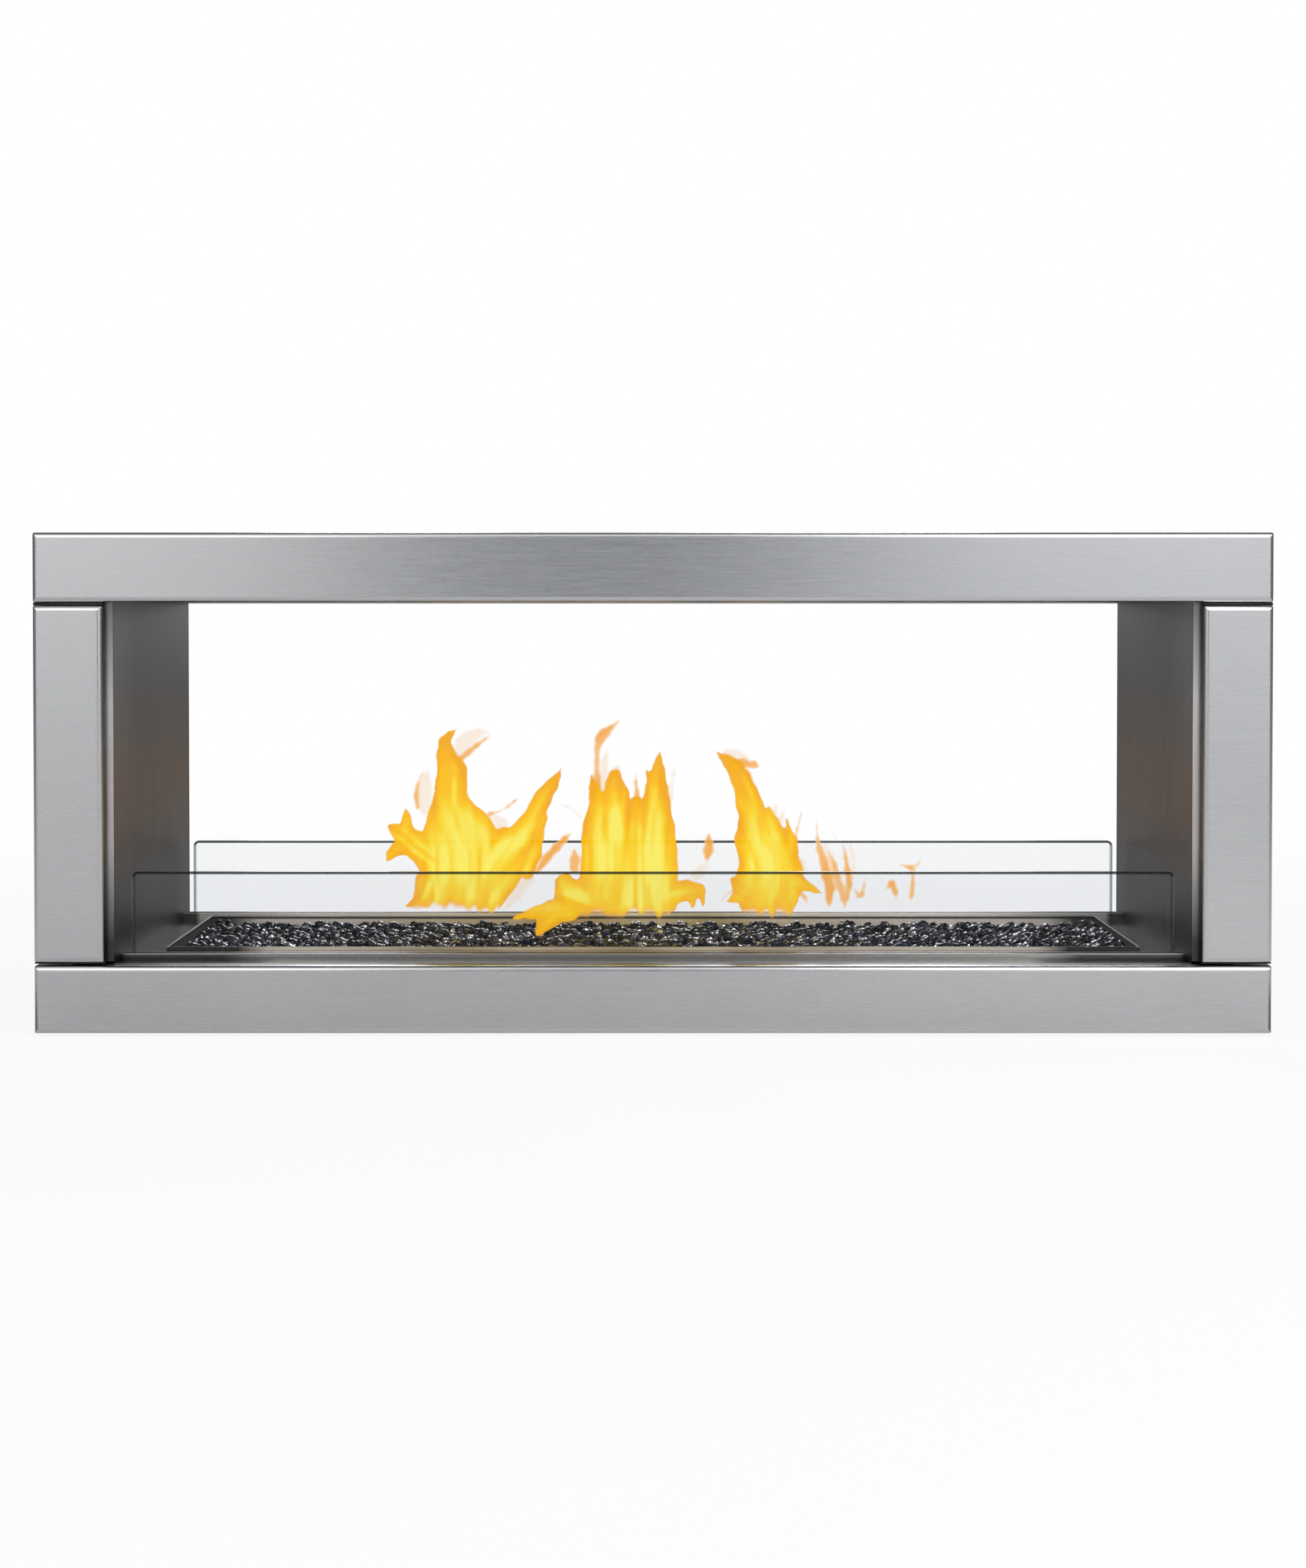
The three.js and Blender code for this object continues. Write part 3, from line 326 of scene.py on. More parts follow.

# Glass channels: two folded U-shaped rails of dark grey steel that hold the panes and stand 8.5 mm above the
# hearth. A painted highlight brightens their top edge and a painted reflection of the dark walls darkens
# their ends. The side to the fire is a pale, rough, less metallic painted reflection that fades at the ends.
channel_steel = brushed_finish(
    "channel_painted_light", (0.30, 0.29, 0.275), 0.22, floor_grain, 0.00008, 0.10, 0.05)
link_nodes(channel_steel, {
    "parts": ("ShaderNodeSeparateXYZ", {"Vector": "place.Object"}),
    "along": maths("ABSOLUTE", "parts.X"),
    "across": maths("ABSOLUTE", "parts.Y"),
    # Painted reflection of the dark walls: darker towards the ends.
    "sooty": graded("along.Value", 0.43, 0.47, 1.0, 0.25),
    # Painted highlight along the top edge.
    "edge": graded("parts.Z", 0.0828, 0.0838, 0.0, 1.35),
    "edge_sooty": maths("MAXIMUM", "edge.Result", "sooty.Result"),
    # Painted reflection on the side to the fire: pale, rough and less metallic, fading at the ends.
    "inner": graded("across.Value", 0.1534, 0.1528),
    "end": graded("along.Value", 0.564, 0.570, 2.1, -0.1),
    "total": maths("MULTIPLY_ADD", "inner.Result", "end.Result", "edge_sooty.Value"),
    "clean": scaled("tint.Vector", "total.Value"),
    "rough": maths("MULTIPLY_ADD", "inner.Result", 0.34, "rub.Result"),
    "metal": maths("MULTIPLY_ADD", "inner.Result", -0.85, 1.0),
    "Principled BSDF": (None, {
        "Base Color": "clean.Vector", "Roughness": "rough.Value", "Metallic": "metal.Value"}),
})
dress(["front_glass_channel", "rear_glass_channel"], channel_steel)

# Trim frame: eight pieces of folded brushed stainless sheet, four on each face. Each is a shallow pan with
# rounded bends and welded corners, and 3 mm joints are left between them. The lower front one is the door.
# Painted shade darkens the returns of the stiles beside the opening.
trim_bend = 0.0058
trim_corner = 0.0022
trim_corner_steps = 7
trim_bend_steps = 9
trim_lap = 0.0004
trim_least_radius = 0.0003
trim_sheet = 0.002
full_return = 0.038
short_return = 0.013
door_return = 0.022
door_foot_return = 0.0033


def folded_pan(low_x, high_x, low_z, high_z, returns, side):
    """A pan from one sheet. The outline is a rectangle with small round corners. From the flat face each
    outline point follows a quarter circle over the bend, then runs straight back as far as the return
    of its own side goes. A return shorter than the bend flattens the circle to an ellipse. returns
    holds the depths in the order right, top, left, bottom."""
    centres = [(high_x, high_z), (low_x, high_z), (low_x, low_z), (high_x, low_z)]
    signs = [(1, 1), (-1, 1), (-1, -1), (1, -1)]
    turn = np.linspace(0.0, math.pi / 2.0, 2 * trim_corner_steps)
    bend = np.linspace(0.0, math.pi / 2.0, trim_bend_steps)
    inset = np.concatenate([[trim_bend + trim_lap], trim_bend * (1 - np.sin(bend)), [0.0, 0.0]])
    depth = np.concatenate([[0.0], trim_bend * (1 - np.cos(bend)), [trim_bend + trim_lap]])
    rows = len(inset)
    rings = []
    for row in range(rows):
        ring = []
        for corner, ((x, z), (sx, sz)) in enumerate(zip(centres, signs)):
            angle = turn + corner * math.pi / 2.0
            radius = max(trim_corner - inset[row], trim_least_radius)
            px = x - sx * (inset[row] + radius) + radius * np.cos(angle)
            pz = z - sz * (inset[row] + radius) + radius * np.sin(angle)
            before, after = returns[corner], returns[(corner + 1) % 4]
            shares = np.minimum(np.array([before, after]) / (trim_bend + 2.0 * trim_lap), 1.0)
            share = np.concatenate([np.linspace(shares[0], shares.min(), trim_corner_steps),
                                    np.linspace(shares.min(), shares[1], trim_corner_steps)])
            deep = np.where(np.arange(len(turn)) < trim_corner_steps, before, after)
            py = deep if row == rows - 1 else share * depth[row]
            ring.append(np.stack([px, side * (face_y - py), pz], axis=1))
        rings.append(np.concatenate(ring))
    points = np.concatenate(rings)
    across = len(rings[0])
    step = np.arange(across)
    ahead = (step + 1) % across
    quads = []
    for row in range(rows - 1):
        quads.append(np.stack([row * across + step, row * across + ahead,
                               (row + 1) * across + ahead, (row + 1) * across + step], axis=1))
    faces = [tuple(map(int, quad)) for quad in np.concatenate(quads)]
    faces.append(tuple(int(i) for i in step[::-1]))
    if side > 0:
        return points, faces
    return points, [face[::-1] for face in faces]


def add_piece(name, points, faces, finish, body, slot, *replaced, smooth=True):
    """A new piece of the fireplace from points and faces, with its finish, the body that it rides on,
    the slot, which is not used, and the CAD pieces that it stands for."""
    mesh = bpy.data.meshes.new(name)
    mesh.from_pydata(np.asarray(points).tolist(), [], faces)
    mesh.update()
    mesh.polygons.foreach_set("use_smooth", np.full(len(mesh.polygons), smooth))
    mesh.materials.append(finish)
    made_piece = bpy.data.objects.new(name, mesh)
    bpy.context.scene.collection.objects.link(made_piece)
    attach(made_piece, body)
    if replaced:
        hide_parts(*replaced)
    return made_piece


trim_steel = brushed_finish(
    "brushed_trim_steel", (0.61, 0.61, 0.615), 0.27, (22.0, 1500.0, 1500.0), 0.00009, 0.045, 0.035)
link_nodes(trim_steel, {
    "parts": ("ShaderNodeSeparateXYZ", {"Vector": "place.Object"}),
    "along": maths("ABSOLUTE", "parts.X"),
    "across": maths("ABSOLUTE", "parts.Y"),
    # Painted shade: the inner returns of the stiles, between the door and the top rail, are darkened nearly
    # to black.
    "inner": graded("along.Value", 0.5990, 0.5975),
    "deep": graded("across.Value", 0.2002, 0.1990),
    "above": graded("parts.Z", 0.0780, 0.0790),
    "below": graded("parts.Z", 0.4700, 0.4690),
    "side": maths("MULTIPLY", "inner.Result", "deep.Result"),
    "span": maths("MULTIPLY", "above.Result", "below.Result"),
    "both": maths("MULTIPLY", "side.Value", "span.Value"),
    "shade": maths("MULTIPLY_ADD", "both.Value", -0.93, 1.0),
    "blacked": scaled("tint.Vector", "shade.Value"),
    "Principled BSDF": (None, {"Base Color": "blacked.Vector"}),
})
face_y = -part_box("front_top_trim")[0].y
trim_returns = {
    "front_top_trim": (full_return, full_return, full_return, short_return),
    "front_left_trim": (short_return, short_return, full_return, short_return),
    "front_right_trim": (full_return, short_return, short_return, short_return),
    "front_access_door": (door_return, door_return, door_return, door_foot_return),
    "rear_top_trim": (full_return, full_return, full_return, short_return),
    "rear_left_trim": (short_return, short_return, full_return, short_return),
    "rear_right_trim": (full_return, short_return, short_return, short_return),
    "rear_bottom_trim": (full_return, door_return, full_return, full_return),
}
for trim_name, returns in trim_returns.items():
    low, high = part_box(trim_name)
    side = -1 if trim_name.startswith("front") else 1
    points, faces = folded_pan(low.x, high.x, low.z, high.z, returns, side)
    body = "access_door" if trim_name == "front_access_door" else "root"
    trim = add_piece("brushed_" + trim_name, points, faces, trim_steel, body, "brushed_trim", trim_name)
    wall = trim.modifiers.new("sheet", "SOLIDIFY")
    wall.thickness = trim_sheet
    wall.offset = -1.0
    wall.use_even_offset = True

# Joint seals: black rubber strips with a rounded nose, pressed between the returns at each end of the
# stiles, 4 mm behind the face. Over the door they leave room for its edge, which rises as it folds down.
seal_front = 0.1990
seal_back = 0.1902
seal_ends = (0.5945, 0.6695)
seal_steps = 24
seal_squareness = 0.4
seal_spans = ((-1, 0.46705, 0.47025), (-1, 0.0789, 0.08028), (1, 0.46705, 0.47025), (1, 0.07705, 0.08025))


def signed_power(value):
    """A value's sign times its size to the power that squares the seal's round profile."""
    return np.sign(value) * np.abs(value) ** seal_squareness


seal_turn = np.linspace(0.0, 2.0 * math.pi, seal_steps, endpoint=False)
seal_points, seal_faces = [], []
for side, low_z, high_z in seal_spans:
    for hand in (-1, 1):
        # Profile: a rounded box, whose points are signed powers of cosine and sine, carried along X.
        around_y = 0.5 * (seal_front - seal_back) * signed_power(np.cos(seal_turn))
        around_z = 0.5 * (high_z - low_z) * signed_power(np.sin(seal_turn))
        first = sum(len(part) for part in seal_points)
        for reach in seal_ends:
            seal_points.append(np.stack([
                np.full(seal_steps, hand * reach),
                side * (0.5 * (seal_front + seal_back) + around_y),
                0.5 * (low_z + high_z) + around_z], axis=1))
        near_end = first + np.arange(seal_steps)
        near_ahead = np.roll(near_end, -1)
        quads = np.stack([
            near_end, near_ahead, near_ahead + seal_steps, near_end + seal_steps], axis=1).tolist()
        caps = [near_end[::-1].tolist(), (near_end + seal_steps).tolist()]
        turned_in = hand * side < 0
        seal_faces += [face[::-1] if turned_in else face for face in quads + caps]
seal_rubber = metal_finish("black_rubber", (0.012, 0.012, 0.013), 0.62, 0.0)
link_nodes(seal_rubber, {
    "place": ("ShaderNodeTexCoord", {}),
    "bloom": noise("place.Object", 180.0, 3.0),
    "rub": graded("bloom.Fac", 0.0, 1.0, 0.5, 0.75),
    "Principled BSDF": (None, {"Roughness": "rub.Result"}),
})
add_piece("joint_seals", np.concatenate(seal_points), seal_faces, seal_rubber, "root", "black_plastic")

# Burner tray: a welded tray of satin stainless sheet whose lip stands 9 mm above the hearth, a slotted
# plate in it, and the linear burner tube with its shutter; the tray and plate are browned a little by the
# heat. Painted highlight and shade make the hem along the lip bright outside and dark inside.
tray_steel = brushed_finish(
    "browned_tray_painted_light", (0.33, 0.305, 0.275), 0.20, (12.0, 600.0, 600.0), 0.00010, 0.16, 0.06)
link_nodes(tray_steel, {
    "parts": ("ShaderNodeSeparateXYZ", {"Vector": "place.Object"}),
    "along": maths("ABSOLUTE", "parts.X"),
    "across": maths("ABSOLUTE", "parts.Y"),
    "ends": maths("SUBTRACT", "along.Value", 0.4241),
    "outside": maths("MAXIMUM", "ends.Value", "across.Value"),
    # Painted light on the lip: the hem bright outside, dark inside and darker along its top, the faces below
    # it lighter, and the inside faces a pale, rough, less metallic painted reflection.
    "height": graded("parts.Z", 0.0812, 0.0820),
    "brow": graded("parts.Z", 0.0842, 0.0848, 1.0, 0.45),
    "face": graded("outside.Value", 0.1194, 0.1204, 2.9, 2.0),
    "edge": graded("outside.Value", 0.1194, 0.1204, 0.35, 2.9),
    "inner": graded("outside.Value", 0.1204, 0.1194, 0.12, 0.34),
    "metal": graded("outside.Value", 0.1204, 0.1194, 1.0, 0.15),
    "pick": ("ShaderNodeMix", {
        "data_type": "FLOAT", 0: "height.Result", 2: "face.Result", 3: "edge.Result"}),
    "shade": maths("MULTIPLY", "pick.0", "brow.Result"),
    # Painted reflection of the dark walls: the ends darker, with the boundary slanted with Y so that it
    # stands upright as seen from the front.
    "lean": maths("MULTIPLY_ADD", "parts.Y", -0.229, "along.Value"),
    "sooty": graded("lean.Value", 0.4575, 0.4925, 1.0, 0.07),
    "shadow": maths("MULTIPLY", "shade.Value", "sooty.Result"),
    # Painted highlight: a thin bright line along the top of the end lips.
    "rim": graded("along.Value", 0.5400, 0.5425, 0.0, 0.9),
    "crest": graded("parts.Z", 0.0840, 0.0847),
    "line": maths("MULTIPLY_ADD", "rim.Result", "crest.Result", "shadow.Value"),
    "clean": scaled("tint.Vector", "line.Value"),
    "rough": maths("ADD", "rub.Result", "inner.Result"),
    "Principled BSDF": (None, {
        "Base Color": "clean.Vector", "Roughness": "rough.Value", "Metallic": "metal.Result"}),
})
dress(["media_tray", "media_plate"], tray_steel)
satin_steel = brushed_finish(
    "satin_steel", (0.52, 0.52, 0.52), 0.34, (400.0, 400.0, 400.0), 0.00008, 0.08, 0.06)
dress(["burner_tube", "air_shutter", "supply_tube", "door_hinge_pin", "valve_shaft", "pilot_bracket",
       "pilot_hood"], satin_steel)

# Gas train and controls: turned brass fittings, soft aluminium tubes bent by hand, a die-cast control valve,
# a copper thermocouple, moulded plastic parts, a vinyl-dipped lever and a glazed ceramic electrode.


def mottled_finish(name, colour, gloss, metallic, blotch, grain, relief):
    """Turned, cast or moulded skin: slow blotches shift the colour by the share blotch and the roughness
    with it, and a fine grain of so many bumps a metre stands up by relief metres."""
    finish = metal_finish(name, colour, gloss, metallic)
    link_nodes(finish, {
        "place": ("ShaderNodeTexCoord", {}),
        "blotches": noise("place.Object", 55.0, 4.0, 0.6),
        "tone": graded("blotches.Fac", 0.3, 0.7, 1.0 - blotch, 1.0 + blotch),
        "tint": scaled(colour, "tone.Result"),
        "rub": graded("blotches.Fac", 0.3, 0.7, gloss * 0.75, gloss * 1.25),
        "grain": noise("place.Object", grain),
        "relief": ("ShaderNodeBump", {"Strength": 0.5, "Distance": relief, "Height": "grain.Fac"}),
        "Principled BSDF": (None, {
            "Base Color": "tint.Vector", "Roughness": "rub.Result", "Normal": "relief.Normal"}),
    })
    return finish


fitting_skins = {
    "turned_brass": ((0.68, 0.48, 0.20), 0.28, 1.0, 0.05, 900.0, 0.00003,
                     ["inlet_fitting", "shutoff_valve", "gas_orifice", "orifice_holder"]),
    "drawn_copper": ((0.70, 0.37, 0.24), 0.33, 1.0, 0.18, 700.0, 0.00004, ["thermocouple"]),
    "soft_aluminium": ((0.72, 0.72, 0.71), 0.36, 1.0, 0.08, 600.0, 0.00005,
                       ["manifold_tube", "pilot_tube"]),
    "die_cast_zinc": ((0.42, 0.42, 0.43), 0.52, 0.9, 0.10, 1500.0, 0.00016, ["gas_valve"]),
    "moulded_black": ((0.020, 0.020, 0.022), 0.42, 0.0, 0.10, 2600.0, 0.00008,
                      ["igniter_module", "left_door_catch", "right_door_catch"]),
    "silicone_sleeve": ((0.028, 0.028, 0.030), 0.55, 0.0, 0.12, 1800.0, 0.00006, ["igniter_lead"]),
    "moulded_red": ((0.46, 0.024, 0.016), 0.30, 0.0, 0.08, 2200.0, 0.00005, ["igniter_button"]),
    "dipped_vinyl": ((0.52, 0.030, 0.018), 0.24, 0.0, 0.10, 260.0, 0.00020, ["shutoff_lever"]),
    "glazed_ceramic": ((0.80, 0.78, 0.71), 0.16, 0.0, 0.05, 420.0, 0.00005, ["spark_electrode"]),
}
for skin_name, (*skin_values, fitting_nodes) in fitting_skins.items():
    dress(fitting_nodes, mottled_finish(skin_name, *skin_values))

# Control knob: moulded black with a skirt and a straight grip, and a pale pointer line pressed into the
# upper end of the grip.
knob_low, knob_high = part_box("control_knob")
knob_middle = 0.5 * (knob_low + knob_high)
knob_skin = mottled_finish("knob_black", (0.022, 0.022, 0.024), 0.38, 0.0, 0.10, 2400.0, 0.00008)
pointer_cream = (0.78, 0.77, 0.73, 1.0)
link_nodes(knob_skin, {
    "parts": ("ShaderNodeSeparateXYZ", {"Vector": "place.Object"}),
    "off_line": maths("SUBTRACT", "parts.X", knob_middle.x),
    "away": maths("ABSOLUTE", "off_line.Value"),
    "thin": graded("away.Value", 0.0008, 0.0006),
    "upper": graded("parts.Z", knob_middle.z + 0.004, knob_middle.z + 0.0043),
    "front": graded("parts.Y", knob_low.y + 0.0006, knob_low.y + 0.0003),
    "both": maths("MULTIPLY", "thin.Result", "upper.Result"),
    "all": maths("MULTIPLY", "both.Value", "front.Result"),
    "paint": mixed("all.Value", "tint.Vector", pointer_cream),
    "Principled BSDF": (None, {"Base Color": "paint.2"}),
})
dress(["control_knob"], knob_skin)

# Fire glass: loose tumbled pieces of glossy glass, 8 to 16 mm across, black to blue-black and some with a
# mirror side. They lie at random in two layers on a bed of smaller ones, raked level with low lumps just
# under the lip of the tray.
pebble_pitch = 0.0124
pebble_size = (0.0056, 0.0082)
pebble_flatness = np.array([1.0, 1.0, 0.72])
pebble_chips = (-0.24, 0.2)
pebble_scatter = 0.34
pebble_unevenness = 0.0012
pebble_seed = 41
upper_share = 0.45
upper_sink = 0.0022
under_sink = 0.0062
raked_from = 0.090
raked_width = 0.018
raked_drop = 0.0036
bed_rim_gap = (0.0075, 0.0072)
bed_columns = 140
bed_rows = 30
bed_level = 0.0785
bed_lump = 0.0035
bed_wave = 2.0 * math.pi / 0.040
bed_low, bed_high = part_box("glass_media_bed")
chance = np.random.default_rng(pebble_seed)


def heap(x, y):
    """Height of the bed: level along its rim, with lumps 40 mm apart: a sine along times a cosine
    across, plus a slower slanting sine, that fade out by the eighth power across and the 32nd along."""
    rim = (1.0 - np.abs(y / bed_high.y) ** 8) * (1.0 - np.abs(x / bed_high.x) ** 32)
    lumps = np.sin(bed_wave * x) * np.cos(bed_wave * y) + np.sin(0.61 * bed_wave * (x + y))
    return bed_level + 0.5 * bed_lump * rim * lumps


def ball_of_quads():
    """A cube's surface with two by two squares on each side, each point pushed out to length one: 26
    points and 24 four-sided faces."""
    ticks = np.array([-1.0, 0.0, 1.0])
    grid = np.stack(np.meshgrid(ticks, ticks, ticks, indexing="ij"), axis=-1).reshape(-1, 3)
    shell = grid[np.abs(grid).max(axis=1) > 0.5]
    index = {tuple(point): place for place, point in enumerate(shell.astype(int).tolist())}
    faces = []
    for axis in range(3):
        for side in (-1, 1):
            for a in (-1, 0):
                for b in (-1, 0):
                    ring = []
                    for da, db in ((0, 0), (1, 0), (1, 1), (0, 1)):
                        point = [0, 0, 0]
                        point[axis] = side
                        point[(axis + 1) % 3] = a + da
                        point[(axis + 2) % 3] = b + db
                        ring.append(index[tuple(point)])
                    faces.append(ring if side > 0 else ring[::-1])
    return shell / np.linalg.norm(shell, axis=1)[:, None], np.array(faces)


ball, ball_faces = ball_of_quads()
half_x = bed_high.x - bed_rim_gap[0]
half_y = bed_high.y - bed_rim_gap[1]
columns = int(2 * half_x / pebble_pitch)
rows = int(2 * half_y / (pebble_pitch * 0.9))
seat_x, seat_y = np.meshgrid(np.linspace(-half_x, half_x, columns), np.linspace(-half_y, half_y, rows))
seat_x = seat_x + np.where(np.arange(rows) % 2, 0.25, -0.25)[:, None] * pebble_pitch
under_seats = np.stack([seat_x.ravel(), seat_y.ravel()], axis=1)
picked = chance.uniform(0.0, 1.0, len(under_seats)) < upper_share
upper_seats = under_seats[picked] + 0.5 * pebble_pitch
upper = np.arange(len(under_seats) + len(upper_seats)) >= len(under_seats)
seats = np.concatenate([under_seats, upper_seats])
seats = seats + chance.uniform(-pebble_scatter, pebble_scatter, seats.shape) * pebble_pitch
seats[:, 0] = np.clip(seats[:, 0], -half_x, half_x)
seats[:, 1] = np.clip(seats[:, 1], -half_y, half_y)
count = len(seats)
radii = chance.uniform(*pebble_size, (count, 3)) * pebble_flatness
spin = chance.normal(size=(count, 4))
spin = spin / np.linalg.norm(spin, axis=1)[:, None]
w, i, j, k = spin.T
turns = np.stack([
    1 - 2 * (j * j + k * k), 2 * (i * j - k * w), 2 * (i * k + j * w),
    2 * (i * j + k * w), 1 - 2 * (i * i + k * k), 2 * (j * k - i * w),
    2 * (i * k - j * w), 2 * (j * k + i * w), 1 - 2 * (i * i + j * j)], axis=1).reshape(count, 3, 3)
chips = 1.0 + chance.uniform(*pebble_chips, (count, len(ball), 1))
shapes = ball[None, :, :] * chips * radii[:, None, :]
shapes = np.einsum("nab,npb->npa", turns, shapes)
raked = raked_drop * np.clip((np.abs(seats[:, 1]) - raked_from) / raked_width, 0.0, 1.0)
lift = heap(seats[:, 0], seats[:, 1]) + np.where(upper, -upper_sink, -under_sink) - raked
lift = lift + chance.uniform(-pebble_unevenness, pebble_unevenness, count)
shapes = shapes + np.stack([seats[:, 0], seats[:, 1], lift], axis=1)[:, None, :]
pebble_points = shapes.reshape(-1, 3)
pebble_faces = (ball_faces[None] + (np.arange(count) * len(ball))[:, None, None]).reshape(-1, 4)
bed_x, bed_y = np.meshgrid(np.linspace(bed_low.x, bed_high.x, bed_columns),
                           np.linspace(bed_low.y, bed_high.y, bed_rows))
bed_grit = 0.0014 * np.sin(410.0 * bed_x) * np.sin(390.0 * bed_y)
bed_fill = heap(bed_x, bed_y) - under_sink + bed_grit
bed_top = np.stack([bed_x, bed_y, bed_fill], axis=-1).reshape(-1, 3)
bed_bottom = bed_top.copy()
bed_bottom[:, 2] = bed_low.z
cell = np.arange(bed_x.size).reshape(bed_x.shape)
bed_quads = np.stack([cell[:-1, :-1], cell[:-1, 1:], cell[1:, 1:], cell[1:, :-1]], axis=-1).reshape(-1, 4)
border = np.concatenate([cell[0, :-1], cell[:-1, -1], cell[-1, :0:-1], cell[:0:-1, 0]])
border_next = np.roll(border, -1)
under = bed_x.size
wall_quads = np.stack([border, border + under, border_next + under, border_next], axis=1)
bed_faces = np.concatenate([bed_quads, bed_quads[:, ::-1] + under, wall_quads])
media_points = np.concatenate([pebble_points, bed_top, bed_bottom])
media_faces = np.concatenate([pebble_faces, bed_faces + len(pebble_points)])
fire_glass = metal_finish("black_fire_glass", (0.012, 0.013, 0.017), 0.07, 0.0)
link_nodes(fire_glass, {
    "piece": ("ShaderNodeAttribute", {"attribute_name": "pebble_tone"}),
    "place": ("ShaderNodeTexCoord", {}),
    "veil": noise("place.Object", 320.0),
    "rub": graded("veil.Fac", 0.3, 0.75, 0.02, 0.11),
    "tone": ("ShaderNodeValToRGB", {"Fac": "piece.Fac"}),
    "mirror": graded("piece.Fac", 0.80, 0.86, 0.0, 0.9),
    "Principled BSDF": (None, {
        "Base Color": "tone.Color", "Roughness": "rub.Result", "Metallic": "mirror.Result",
        "Specular IOR Level": 0.38}),
})
piece_tones = {
    0.0: (0.003, 0.003, 0.004, 1.0),
    0.52: (0.004, 0.005, 0.008, 1.0),
    0.78: (0.012, 0.018, 0.045, 1.0),
    0.88: (0.20, 0.20, 0.23, 1.0),
    1.0: (0.42, 0.40, 0.42, 1.0),
}
stops = fire_glass.node_tree.nodes["tone"].color_ramp.elements
for share, tone in piece_tones.items():
    stop = {0.0: stops[0], 1.0: stops[-1]}.get(share) or stops.new(share)
    stop.color = tone
media = add_piece("loose_fire_glass", media_points, media_faces.tolist(), fire_glass, "root",
                  "fire_glass", "glass_media_bed")
tones = np.concatenate([np.repeat(chance.uniform(0.0, 1.0, count), len(ball)), np.zeros(2 * under)])
media.data.attributes.new("pebble_tone", "FLOAT", "POINT").data.foreach_set("value", tones)

# Flames: burning gas over the burner, so this has no solid in the frame. It stands as thin curved sheets
# along the burner, yellow inside, orange at its edges and pale where it thins out, fed from the glass bed.
# All its sizes are in millimetres.
flame_cell = 1.6
flame_seed = 7
flame_margin = 6.0
flame_flutter = 2.6
flame_foot = 97.0
gas_thickness = 24.0
gas_thinning = 17.0
